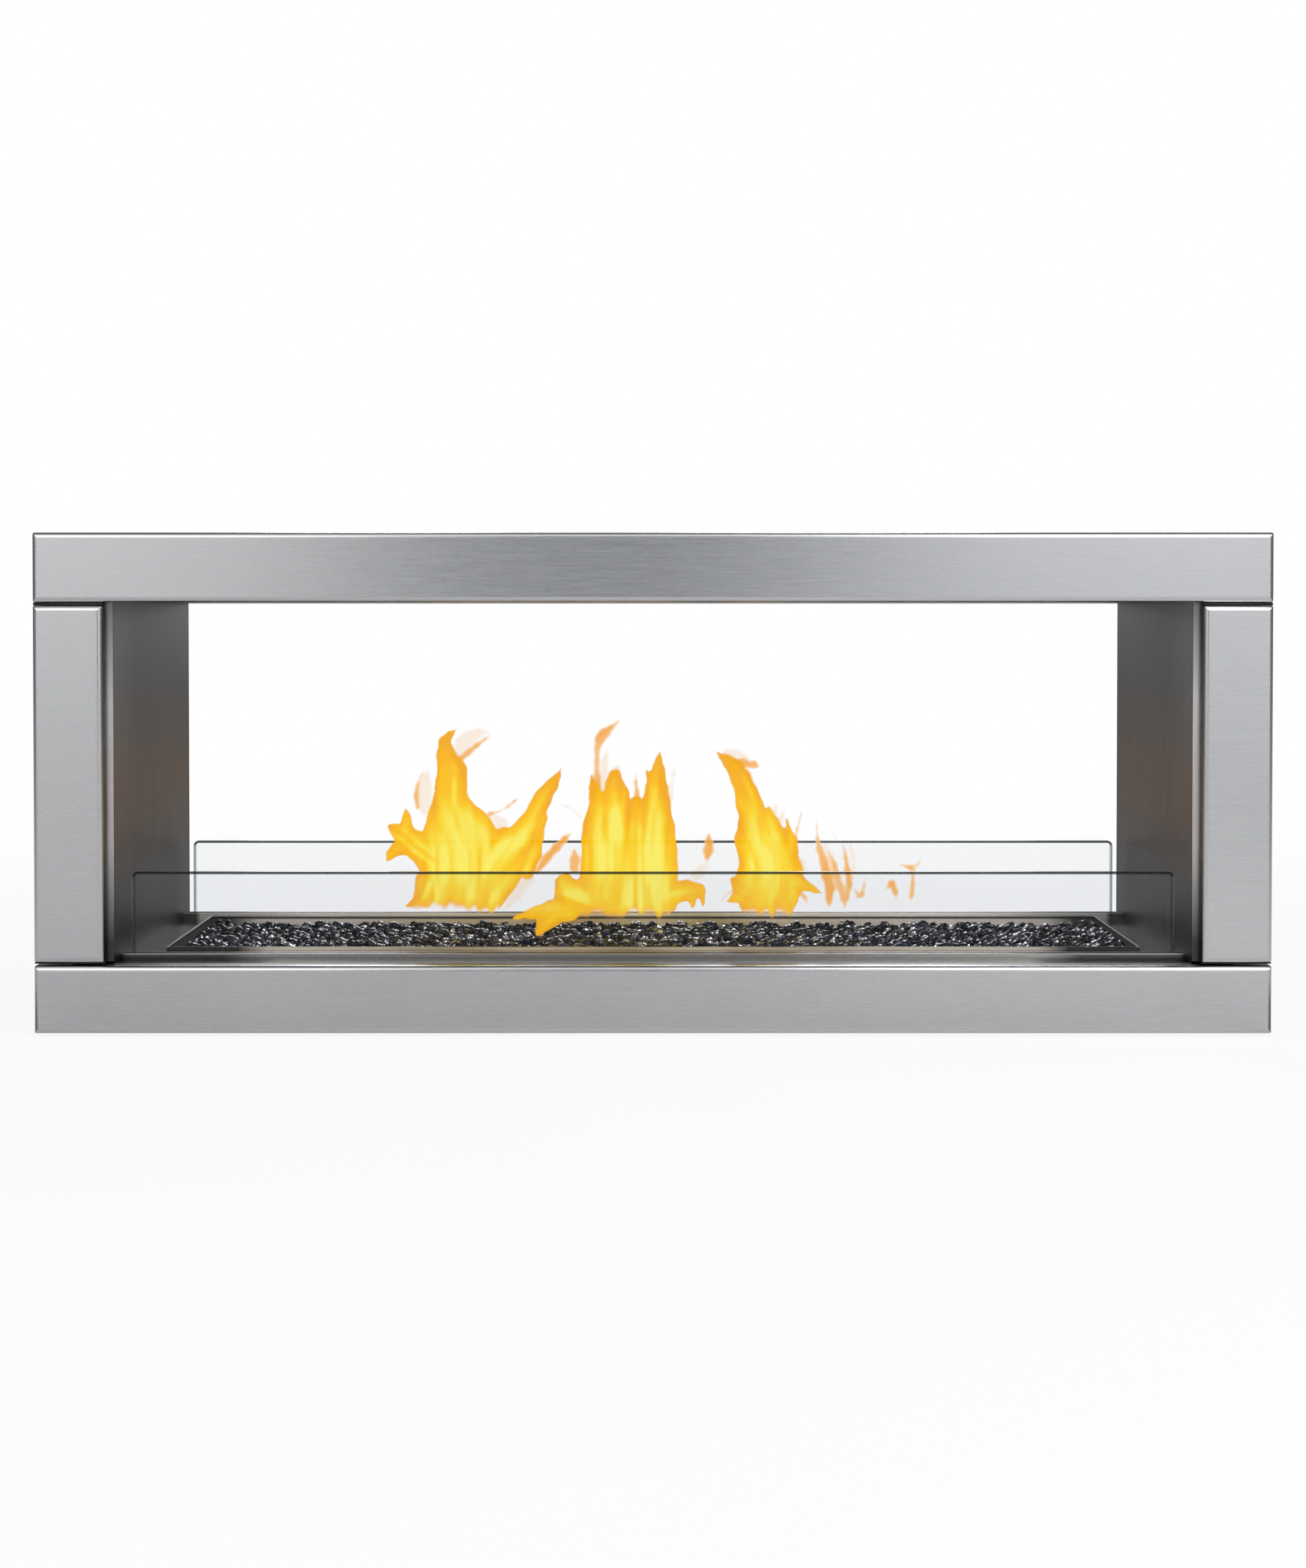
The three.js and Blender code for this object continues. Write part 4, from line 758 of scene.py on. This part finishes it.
# Each tongue is a kind, its set-back from the burner line, and points of place along, height and half
# width. A body burns yellow, a lick is a body that runs over the glass, peach is thin orange gas and pale
# is the faintest.
flame_tongues = {
    "left_flames": (
        ("body", 4, ((-229, 85, 18.0), (-227, 131, 39.5), (-225, 163, 50.3), (-227, 190, 44.9),
            (-234, 212, 33.2), (-238, 235, 20.7), (-238, 257, 18.0), (-237, 275, 17.1),
            (-243, 293, 11.7), (-245, 307, 7.2), (-239, 316, 3.6), (-231, 322, 1.1))),
        ("body", -12, ((-207, 87, 9.9), (-196, 131, 25.1), (-187, 157, 32.3), (-172, 179, 27.8),
            (-155, 195, 17.1), (-144, 211, 13.5), (-136, 229, 10.8), (-128, 244, 9.9),
            (-119, 257, 7.2), (-111, 269, 3.6), (-107, 278, 0.9))),
        ("body", -16, ((-148, 159, 10.8), (-140, 179, 9.9), (-136, 199, 8.1), (-130, 219, 7.2))),
        ("body", 12, ((-258, 170, 23.4), (-278, 183, 17.1), (-295, 197, 11.7), (-304, 202, 7.2),
            (-310, 206, 2.7))),
        ("body", 10, ((-292, 203, 9.0), (-291, 217, 4.5), (-292, 228, 0.8))),
        ("body", 14, ((-288, 184, 10.8), (-302, 180, 8.1), (-310, 173, 5.4), (-314, 167, 2.2))),
        ("body", 8, ((-262, 140, 19.0), (-268, 125, 14.0), (-278, 117, 7.0), (-290, 113, 1.8))),
        ("peach", -6, ((-227, 287, 5.4), (-218, 294, 4.5), (-207, 303, 3.6), (-197, 311, 2.7),
            (-189, 317, 0.7))),
        ("pale", -8, ((-230, 292, 7.2), (-224, 304, 9.9), (-215, 313, 9.0), (-204, 318, 6.3),
            (-190, 319, 1.3))),
        ("pale", 16, ((-270, 224, 6.3), (-271, 239, 9.9), (-270, 253, 9.9), (-269, 264, 7.2),
            (-266, 273, 1.8))),
        ("peach", 17, ((-278, 228, 3.1), (-280, 242, 3.1), (-278, 256, 2.7), (-273, 269, 1.1))),
        ("peach", -10, ((-191, 223, 4.0), (-181, 226, 2.3), (-170, 232, 1.8), (-162, 239, 1.4),
            (-154, 244, 0.7))),
        ("peach", -20, ((-135, 158, 4.5), (-123, 174, 5.4), (-112, 186, 5.8), (-103, 195, 4.9),
            (-96, 202, 1.3))),
        ("pale", -18, ((-112, 237, 1.4), (-101, 233, 1.2), (-91, 228, 1.4), (-84, 220, 2.0))),
        ("pale", -14, ((-146, 147, 8.1), (-158, 131, 7.2), (-169, 118, 5.4), (-178, 109, 2.7))),
        ("peach", -6, ((-189, 131, 4.5), (-189, 118, 3.1), (-186, 106, 0.8))),
        ("pale", 4, ((-178, 212, 9.0), (-187, 220, 5.4))),
    ),
    "middle_flames": (
        ("body", 8, ((-70, 86, 10.8), (-66, 131, 24.2), (-62, 158, 22.5), (-62, 185, 22.5),
            (-63, 208, 18.9), (-62, 226, 15.3), (-66, 239, 9.9), (-70, 253, 5.4), (-73, 267, 1.3))),
        ("body", -4, ((-46, 86, 13.5), (-42, 136, 25.1), (-42, 172, 25.1), (-43, 203, 21.6),
            (-44, 226, 18.0), (-45, 244, 13.5), (-46, 257, 9.9), (-44, 267, 7.2), (-42, 273, 1.8))),
        ("body", -8, ((-36, 233, 10.8), (-35, 247, 7.2), (-37, 260, 3.6))),
        ("body", 2, ((-21, 86, 12.6), (-21, 127, 26.9), (-21, 163, 26.0), (-21, 203, 19.8),
            (-20, 226, 11.7), (-19, 237, 7.2))),
        ("body", -10, ((4, 87, 8.1), (2, 131, 26.9), (0, 154, 29.6), (0, 181, 27.8), (2, 212, 22.5),
            (4, 235, 17.1), (4, 253, 13.5), (4, 266, 9.9), (6, 277, 6.7), (7, 287, 3.6), (8, 297, 0.8))),
        ("body", 6, ((-4, 242, 6.3), (-5, 256, 3.1), (-7, 273, 0.8))),
        ("peach", 4, ((-19, 237, 6.3), (-19, 248, 4.0), (-20, 260, 2.7), (-20, 272, 0.8))),
        ("body", 12, ((22, 129, 16.2), (40, 131, 12.6), (54, 132, 8.1))),
        ("body", 14, ((45, 125, 8.1), (47, 111, 1.8))),
        ("body", 10, ((57, 129, 5.4), (59, 114, 1.8))),
        ("body", 6, ((24, 123, 9.0), (25, 110, 1.8))),
        ("body", -12, ((5, 114, 8.1), (6, 101, 1.8))),
        ("body", 16, ((-80, 122, 22.5), (-100, 129, 16.2), (-105, 140, 9.9), (-103, 148, 4.5))),
        ("lick", -24, ((-97, 112, 13.5), (-121, 112, 10.3), (-140, 109, 6.3), (-155, 105, 3.1),
            (-163, 103, 0.9))),
        ("lick", -30, ((-118, 105, 11.7), (-127, 97, 9.0), (-132, 89, 4.9), (-135, 84, 1.8))),
        ("peach", 10, ((-67, 246, 7.2), (-66, 266, 4.9), (-66, 284, 4.5), (-66, 299, 4.5),
            (-62, 310, 6.3), (-57, 317, 6.7), (-49, 324, 4.5), (-40, 332, 0.9))),
        ("pale", 8, ((-61, 247, 7.2), (-59, 266, 7.2), (-57, 284, 5.4), (-54, 298, 2.7))),
        ("pale", -4, ((-45, 269, 7.2), (-42, 276, 4.5), (-40, 281, 1.8))),
        ("pale", -14, ((21, 242, 4.5), (22, 257, 4.0), (24, 271, 2.7), (26, 280, 0.8))),
        ("pale", -6, ((-19, 260, 2.7), (-19, 273, 1.3))),
        ("peach", 18, ((-93, 177, 4.0), (-93, 167, 6.7), (-93, 158, 5.8), (-89, 152, 2.2))),
        ("peach", 14, ((66, 197, 1.3), (66, 187, 5.4), (65, 178, 6.7), (64, 170, 4.0))),
        ("pale", 14, ((65, 170, 2.7), (63, 158, 2.2), (58, 149, 4.5))),
        ("pale", 15, ((51, 148, 8.1), (59, 158, 5.4))),
    ),
    "right_flames": (
        ("body", -4, ((123, 85, 9.9), (125, 120, 24.2), (130, 145, 32.3), (132, 167, 29.6),
            (123, 190, 26.9), (119, 212, 18.9), (115, 230, 16.2), (109, 248, 13.5), (102, 264, 11.7),
            (96, 276, 9.9), (88, 284, 7.2), (81, 290, 4.0), (75, 296, 1.3))),
        ("body", 8, ((152, 87, 6.3), (154, 129, 19.8), (154, 154, 22.5), (150, 176, 19.8),
            (143, 194, 16.2), (137, 210, 11.7), (135, 220, 7.2), (136, 230, 2.2))),
        ("body", 12, ((160, 179, 11.7), (163, 191, 7.2), (160, 201, 3.6), (158, 215, 0.8))),
        ("body", -12, ((112, 136, 19.8), (101, 141, 9.9), (93, 146, 3.6))),
        ("body", -16, ((103, 127, 9.9), (95, 125, 4.5), (88, 122, 1.3))),
        ("peach", -18, ((91, 133, 2.2), (80, 123, 0.7))),
        ("peach", -8, ((96, 280, 8.1), (107, 283, 5.8), (118, 281, 4.5), (125, 278, 1.1))),
        ("pale", -10, ((85, 294, 6.3), (97, 295, 6.3), (108, 290, 3.6), (114, 286, 1.8))),
        ("pale", -4, ((113, 269, 4.5), (118, 253, 4.0), (122, 238, 3.6))),
        ("pale", 10, ((143, 224, 5.4), (145, 231, 3.6), (149, 237, 0.8))),
        ("pale", 14, ((150, 212, 6.3), (154, 224, 1.8))),
        ("peach", 14, ((168, 190, 4.0), (170, 203, 2.3), (175, 222, 0.7))),
        ("body", 14, ((166, 143, 12.6), (179, 137, 7.2), (191, 131, 3.6), (200, 127, 0.9))),
        ("peach", 10, ((172, 131, 5.4), (179, 123, 3.6), (183, 114, 0.9))),
        ("pale", 12, ((175, 165, 6.3), (181, 152, 4.5))),
    ),
    "far_right_flames": (
        ("peach", 6, ((192, 220, 0.7), (193, 206, 1.3), (194, 192, 2.7), (197, 179, 4.5),
            (201, 166, 6.3), (205, 149, 7.6), (209, 136, 7.2), (207, 122, 4.5), (208, 112, 1.1))),
        ("peach", 0, ((207, 178, 2.2), (213, 163, 3.6), (216, 149, 5.4), (220, 136, 5.8),
            (224, 123, 4.0), (225, 112, 0.9))),
        ("pale", 2, ((203, 186, 3.6), (208, 172, 5.4), (212, 158, 5.4))),
        ("pale", -4, ((210, 204, 0.8), (215, 194, 1.6))),
        ("peach", -8, ((223, 187, 2.2), (226, 172, 3.6), (228, 156, 4.9), (230, 140, 4.0),
            (228, 125, 2.7), (226, 115, 0.9))),
        ("pale", -10, ((231, 186, 2.7), (234, 174, 3.6), (235, 161, 3.6), (233, 147, 3.6))),
        ("peach", 4, ((237, 134, 1.3), (242, 125, 2.2), (246, 127, 2.7), (249, 138, 2.0),
            (250, 149, 1.1))),
        ("peach", 0, ((275, 135, 1.3), (281, 140, 4.5), (284, 131, 4.0), (286, 123, 0.9))),
        ("peach", 6, ((291, 162, 1.1), (303, 159, 3.1), (311, 161, 2.0), (315, 167, 0.7))),
        ("peach", 4, ((307, 157, 3.1), (306, 140, 3.1), (304, 125, 2.7), (303, 112, 0.9))),
        ("pale", 2, ((286, 126, 1.4), (292, 117, 2.2), (297, 121, 1.3))),
        ("pale", 0, ((-335, 144, 0.8), (-329, 138, 2.0), (-324, 130, 0.8))),
    ),
}


def lattice_noise(u, v, seed):
    """Smooth noise from 0 to 1: random values on whole numbers of u and v, joined with an S-curve."""
    table = np.random.default_rng(seed).uniform(0.0, 1.0, (64, 64))
    low_u, low_v = np.floor(u).astype(int), np.floor(v).astype(int)
    part_u, part_v = u - low_u, v - low_v
    part_u = part_u * part_u * (3.0 - 2.0 * part_u)
    part_v = part_v * part_v * (3.0 - 2.0 * part_v)
    near = table[low_u % 64, low_v % 64] * (1 - part_v) + table[low_u % 64, (low_v + 1) % 64] * part_v
    far = table[(low_u + 1) % 64, low_v % 64] * (1 - part_v)
    far = far + table[(low_u + 1) % 64, (low_v + 1) % 64] * part_v
    return near * (1 - part_u) + far * part_u


def rise(value, start, end):
    """0 below start, 1 above end, and an S-curve between them."""
    share = np.clip((value - start) / (end - start), 0.0, 1.0)
    return share * share * (3.0 - 2.0 * share)


def gas_at(x, z, tongues):
    """For points x, z: how deep each lies inside the tongues of each kind, and the sheet's set-back and
    streaks there. Between two points of a tongue the depth is the half width, which changes evenly,
    less the distance to the line. Tongues run together by the logarithm of the sum of exponentials."""
    sharp = 0.8
    sums = {kind: np.full(x.shape, 1e-12) for kind in ("body", "lick", "peach", "pale")}
    weight = np.full(x.shape, 1e-12)
    setback = np.zeros(x.shape)
    streaks = np.zeros(x.shape)
    for place, (kind, back, points) in enumerate(tongues):
        run = 0.0
        for (xa, za, ra), (xb, zb, rb) in zip(points[:-1], points[1:]):
            length = math.hypot(xb - xa, zb - za)
            along = ((x - xa) * (xb - xa) + (z - za) * (zb - za)) / length ** 2
            share = np.clip(along, 0.0, 1.0)
            away = np.hypot(x - xa - share * (xb - xa), z - za - share * (zb - za))
            deep = ra + share * (rb - ra) - away
            side = ((x - xa) * (zb - za) - (z - za) * (xb - xa)) / length
            pull = np.exp(np.clip(sharp * deep, -40.0, 60.0))
            sums[kind] += pull
            soft = np.exp(np.clip(0.25 * deep, -20.0, 30.0))
            weight += soft
            setback += soft * back
            streaks += soft * lattice_noise(side / 5.5 + 7.3 * place, (run + share * length) / 42.0, 3)
            run += length
    depths = {kind: np.log(total) / sharp for kind, total in sums.items()}
    return depths, setback / weight, streaks / weight


gas_finish = bare_finish(bpy.data.materials.new("burning_gas"))
link_nodes(gas_finish, {
    "tint": ("ShaderNodeAttribute", {"attribute_name": "gas"}),
    "place": ("ShaderNodeTexCoord", {}),
    "stretch": ("ShaderNodeMapping", {"Vector": "place.Object", "Scale": (210.0, 60.0, 26.0)}),
    "flicker": ("ShaderNodeTexNoise", {
        "Vector": "stretch.Vector", "Scale": 1.0, "Detail": 2.0, "Distortion": 0.6}),
    "thin": graded("flicker.Fac", 0.3, 0.62, 0.92, 1.0),
    "veil": maths("MULTIPLY", "thin.Result", "tint.Alpha"),
    "clear": ("ShaderNodeBsdfTransparent", {}),
    "glow": ("ShaderNodeEmission", {"Color": "tint.Color", "Strength": 1.0}),
    "blend": ("ShaderNodeMixShader", {"Fac": "veil.Value", 1: "clear.BSDF", 2: "glow.Emission"}),
    "out": ("ShaderNodeOutputMaterial", {"Surface": "blend.Shader"}),
})

heat_steps = np.array([0.0, 0.25, 0.5, 0.75, 1.0])
heat_colours = np.array([(0.90, 0.41, 0.010), (0.95, 0.475, 0.006), (0.96, 0.56, 0.008),
                         (0.955, 0.69, 0.030), (0.96, 0.84, 0.125)])
peach_rim = np.array((0.93, 0.58, 0.26))
peach_core = np.array((0.90, 0.38, 0.030))
pale_gas = np.array((0.90, 0.70, 0.52))
for flame_name, tongues in flame_tongues.items():
    stops = np.array([point for _, _, points in tongues for point in points])
    low_x = (stops[:, 0] - stops[:, 2]).min() - flame_margin
    high_x = (stops[:, 0] + stops[:, 2]).max() + flame_margin
    low_z = (stops[:, 1] - stops[:, 2]).min() - flame_margin
    high_z = (stops[:, 1] + stops[:, 2]).max() + flame_margin
    x, z = np.meshgrid(np.arange(low_x, high_x, flame_cell), np.arange(low_z, high_z, flame_cell))
    # The gas is where the tongues are deep enough, above a ragged foot, and its outline flutters.
    flutter = flame_flutter * (lattice_noise(x / 8.0, z / 13.0, flame_seed) - 0.5)
    depths, setback, streaks = gas_at(x, z, tongues)
    ragged = flame_foot + 6.0 * rise(-x, 100.0, 150.0) + 10.0 * lattice_noise(x / 7.0, z * 0.0, 5)
    for kind in ("body", "peach", "pale"):
        depths[kind] = np.minimum(depths[kind], z - ragged)
    deep = np.maximum.reduce(list(depths.values())) + flutter
    inside = deep > 0.0
    used = inside[:-1, :-1] | inside[1:, :-1] | inside[:-1, 1:] | inside[1:, 1:]
    # Points just outside are pulled on to the outline down the slope of the depth, so it is smooth.
    slope_z, slope_x = np.gradient(deep, flame_cell)
    steep = np.maximum(slope_x ** 2 + slope_z ** 2, 0.05)
    shift = np.where(inside, 0.0, -deep) / steep
    x = x + np.clip(shift * slope_x, -flame_cell, flame_cell)
    z = z + np.clip(shift * slope_z, -flame_cell, flame_cell)
    swell = 1.0 - np.exp(-np.maximum(deep, 0.0) / gas_thinning)
    thick = np.where(inside, gas_thickness * swell, 0.0)
    index = np.arange(x.size).reshape(x.shape)
    front = np.stack([index[:-1, :-1], index[:-1, 1:], index[1:, 1:], index[1:, :-1]], axis=-1)[used]
    back_index = np.where(inside, index + x.size, index)
    back = np.stack([back_index[:-1, :-1], back_index[1:, :-1], back_index[1:, 1:], back_index[:-1, 1:]],
                    axis=-1)[used]
    points = np.concatenate([np.stack([x, setback - thick, z], axis=-1).reshape(-1, 3),
                             np.stack([x, setback + thick, z], axis=-1).reshape(-1, 3)]) / 1000.0
    # Heat, from 0 to 1: deep gas is hot, streaks add to it or take away, and the tips are cooler.
    body = np.maximum(depths["body"], depths["lick"]) + flutter
    heat = np.clip(body / 15.0, 0.0, 1.0) * 0.72 + 0.75 * (streaks - 0.42)
    heat = heat - 0.35 * rise(z, 215.0, 300.0)
    heat = np.clip(heat + 0.12 * rise(body, 10.0, 30.0), 0.0, 1.0)
    colour = np.stack([np.interp(heat, heat_steps, heat_colours[:, part]) for part in range(3)], axis=-1)
    root = rise(z, ragged, ragged + 9.0)
    peach_share = rise(depths["peach"] + flutter, 0.5, 4.5) * (0.35 + 1.1 * streaks)
    peach_gas = peach_rim + np.clip(peach_share, 0.0, 1.0)[..., None] * (peach_core - peach_rim)
    # How much of the view each kind covers, and its colour, laid over each other from pale to lick.
    covers = {
        "pale": (0.55 * rise(depths["pale"] + flutter, -0.4, 4.0) * root, pale_gas),
        "peach": (0.92 * rise(depths["peach"] + flutter, -0.6, 2.8) * root, peach_gas),
        "body": (0.985 * rise(depths["body"] + flutter, -0.8, 0.9) * root, colour),
        "lick": (0.97 * rise(depths["lick"] + flutter, -0.6, 1.2), colour),
    }
    tint = np.zeros(x.shape + (3,))
    cover = np.zeros(x.shape)
    for share, shade in covers.values():
        tint = tint * (1.0 - share[..., None]) + share[..., None] * shade
        cover = cover * (1.0 - share) + share
    tint = tint / np.maximum(cover, 1e-4)[..., None]
    # The gas is seen through two sides, so each side covers less than both together.
    one_side = 1.0 - np.sqrt(1.0 - np.clip(cover, 0.0, 0.995))
    rgba = np.concatenate([tint.reshape(-1, 3), one_side.reshape(-1, 1)], axis=1)
    rgba = np.concatenate([rgba, rgba])
    faces = np.concatenate([front, back])
    kept, faces = np.unique(faces, return_inverse=True)
    faces = faces.reshape(-1, 4)
    flame = add_piece(flame_name, points[kept], faces.tolist(), gas_finish, "root", None)
    attribute = flame.data.attributes.new("gas", "FLOAT_COLOR", "POINT")
    attribute.data.foreach_set("color", rgba[kept].ravel())

# Glass guards: two panes of 6 mm clear tempered glass that stand loose in their channels and lift out.
# Their edges are ground and polished. Painted shade makes the upper one a thin dark line and a painted
# reflection makes the upright ones pale grey-green, and the faces have a faint blue cast.
pane_edge = 0.0027
pane_arris = 0.0007
pane_corner_steps = 8
pane_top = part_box("front_glass_guard")[1].z
face_tint = (0.966, 0.970, 0.975, 1.0)
# Painted shade on the upper edge, and a painted pale reflection on the upright edges.
upper_edge_painted_shade = (0.26, 0.28, 0.28, 1.0)
side_edge_painted_pale = (0.56, 0.63, 0.63, 1.0)
clear_glass = bpy.data.materials.new("clear_guard_glass")
ground_edge = bpy.data.materials.new("ground_glass_edge")
for finish, upper_tint, side_tint, gloss, film in (
        (clear_glass, face_tint, face_tint, 0.02, 0.35),
        (ground_edge, upper_edge_painted_shade, side_edge_painted_pale, 0.16, 0.8)):
    link_nodes(bare_finish(finish), {
        "place": ("ShaderNodeTexCoord", {}),
        "parts": ("ShaderNodeSeparateXYZ", {"Vector": "place.Object"}),
        "upper": graded("parts.Z", pane_top - 0.007, pane_top - 0.004),
        "tone": mixed("upper.Result", side_tint, upper_tint),
        "through": ("ShaderNodeBsdfTransparent", {"Color": "tone.2"}),
        "smears": noise("place.Object", 11.0, 4.0),
        "rub": graded("smears.Fac", 0.4, 0.8, gloss, gloss + 0.12),
        "shine": ("ShaderNodeBsdfAnisotropic", {"Roughness": "rub.Result"}),
        "angle": ("ShaderNodeFresnel", {"IOR": 1.45}),
        "share": maths("MULTIPLY", "angle.Fac", film),
        "blend": ("ShaderNodeMixShader", {"Fac": "share.Value", 1: "through.BSDF", 2: "shine.BSDF"}),
        "out": ("ShaderNodeOutputMaterial", {"Surface": "blend.Shader"}),
    })


def pane_outline(low_x, high_x, low_z, high_z, corner, inset):
    """Points round a pane that is inset from its outline: square at the foot, and a quarter circle of
    the corner's radius, less the inset, at both upper corners."""
    turn = np.linspace(0.0, math.pi / 2.0, pane_corner_steps)
    radius = corner - inset
    right = np.stack([high_x - corner + radius * np.cos(turn), high_z - corner + radius * np.sin(turn)], 1)
    left = np.stack([low_x + corner - radius * np.sin(turn), high_z - corner + radius * np.cos(turn)], 1)
    foot = np.array([[low_x + inset, low_z + inset], [high_x - inset, low_z + inset]])
    return np.concatenate([foot, right, left])


guard_corner = 0.006
for guard_name, body in (("front_glass_guard", "front_guard"), ("rear_glass_guard", "rear_guard")):
    low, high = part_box(guard_name)
    rings = []
    for inset, y in ((pane_edge, low.y), (pane_arris, low.y), (0.0, low.y + pane_arris),
                     (0.0, high.y - pane_arris), (pane_arris, high.y), (pane_edge, high.y)):
        line = pane_outline(low.x, high.x, low.z, high.z, guard_corner, inset)
        rings.append(np.stack([line[:, 0], np.full(len(line), y), line[:, 1]], axis=1))
    across = len(rings[0])
    step = np.arange(across)
    ahead = (step + 1) % across
    quads = [np.stack([r * across + step, (r + 1) * across + step, (r + 1) * across + ahead,
                       r * across + ahead], axis=1) for r in range(len(rings) - 1)]
    faces = np.concatenate(quads).tolist()
    faces.append(step.tolist())
    faces.append((step[::-1] + (len(rings) - 1) * across).tolist())
    pane = add_piece("clear_" + guard_name, np.concatenate(rings), faces, ground_edge, body,
                     "guard_glass", guard_name, smooth=False)
    pane.data.materials.append(clear_glass)
    pane.data.polygons.foreach_set("material_index", [0] * (len(faces) - 2) + [1, 1])
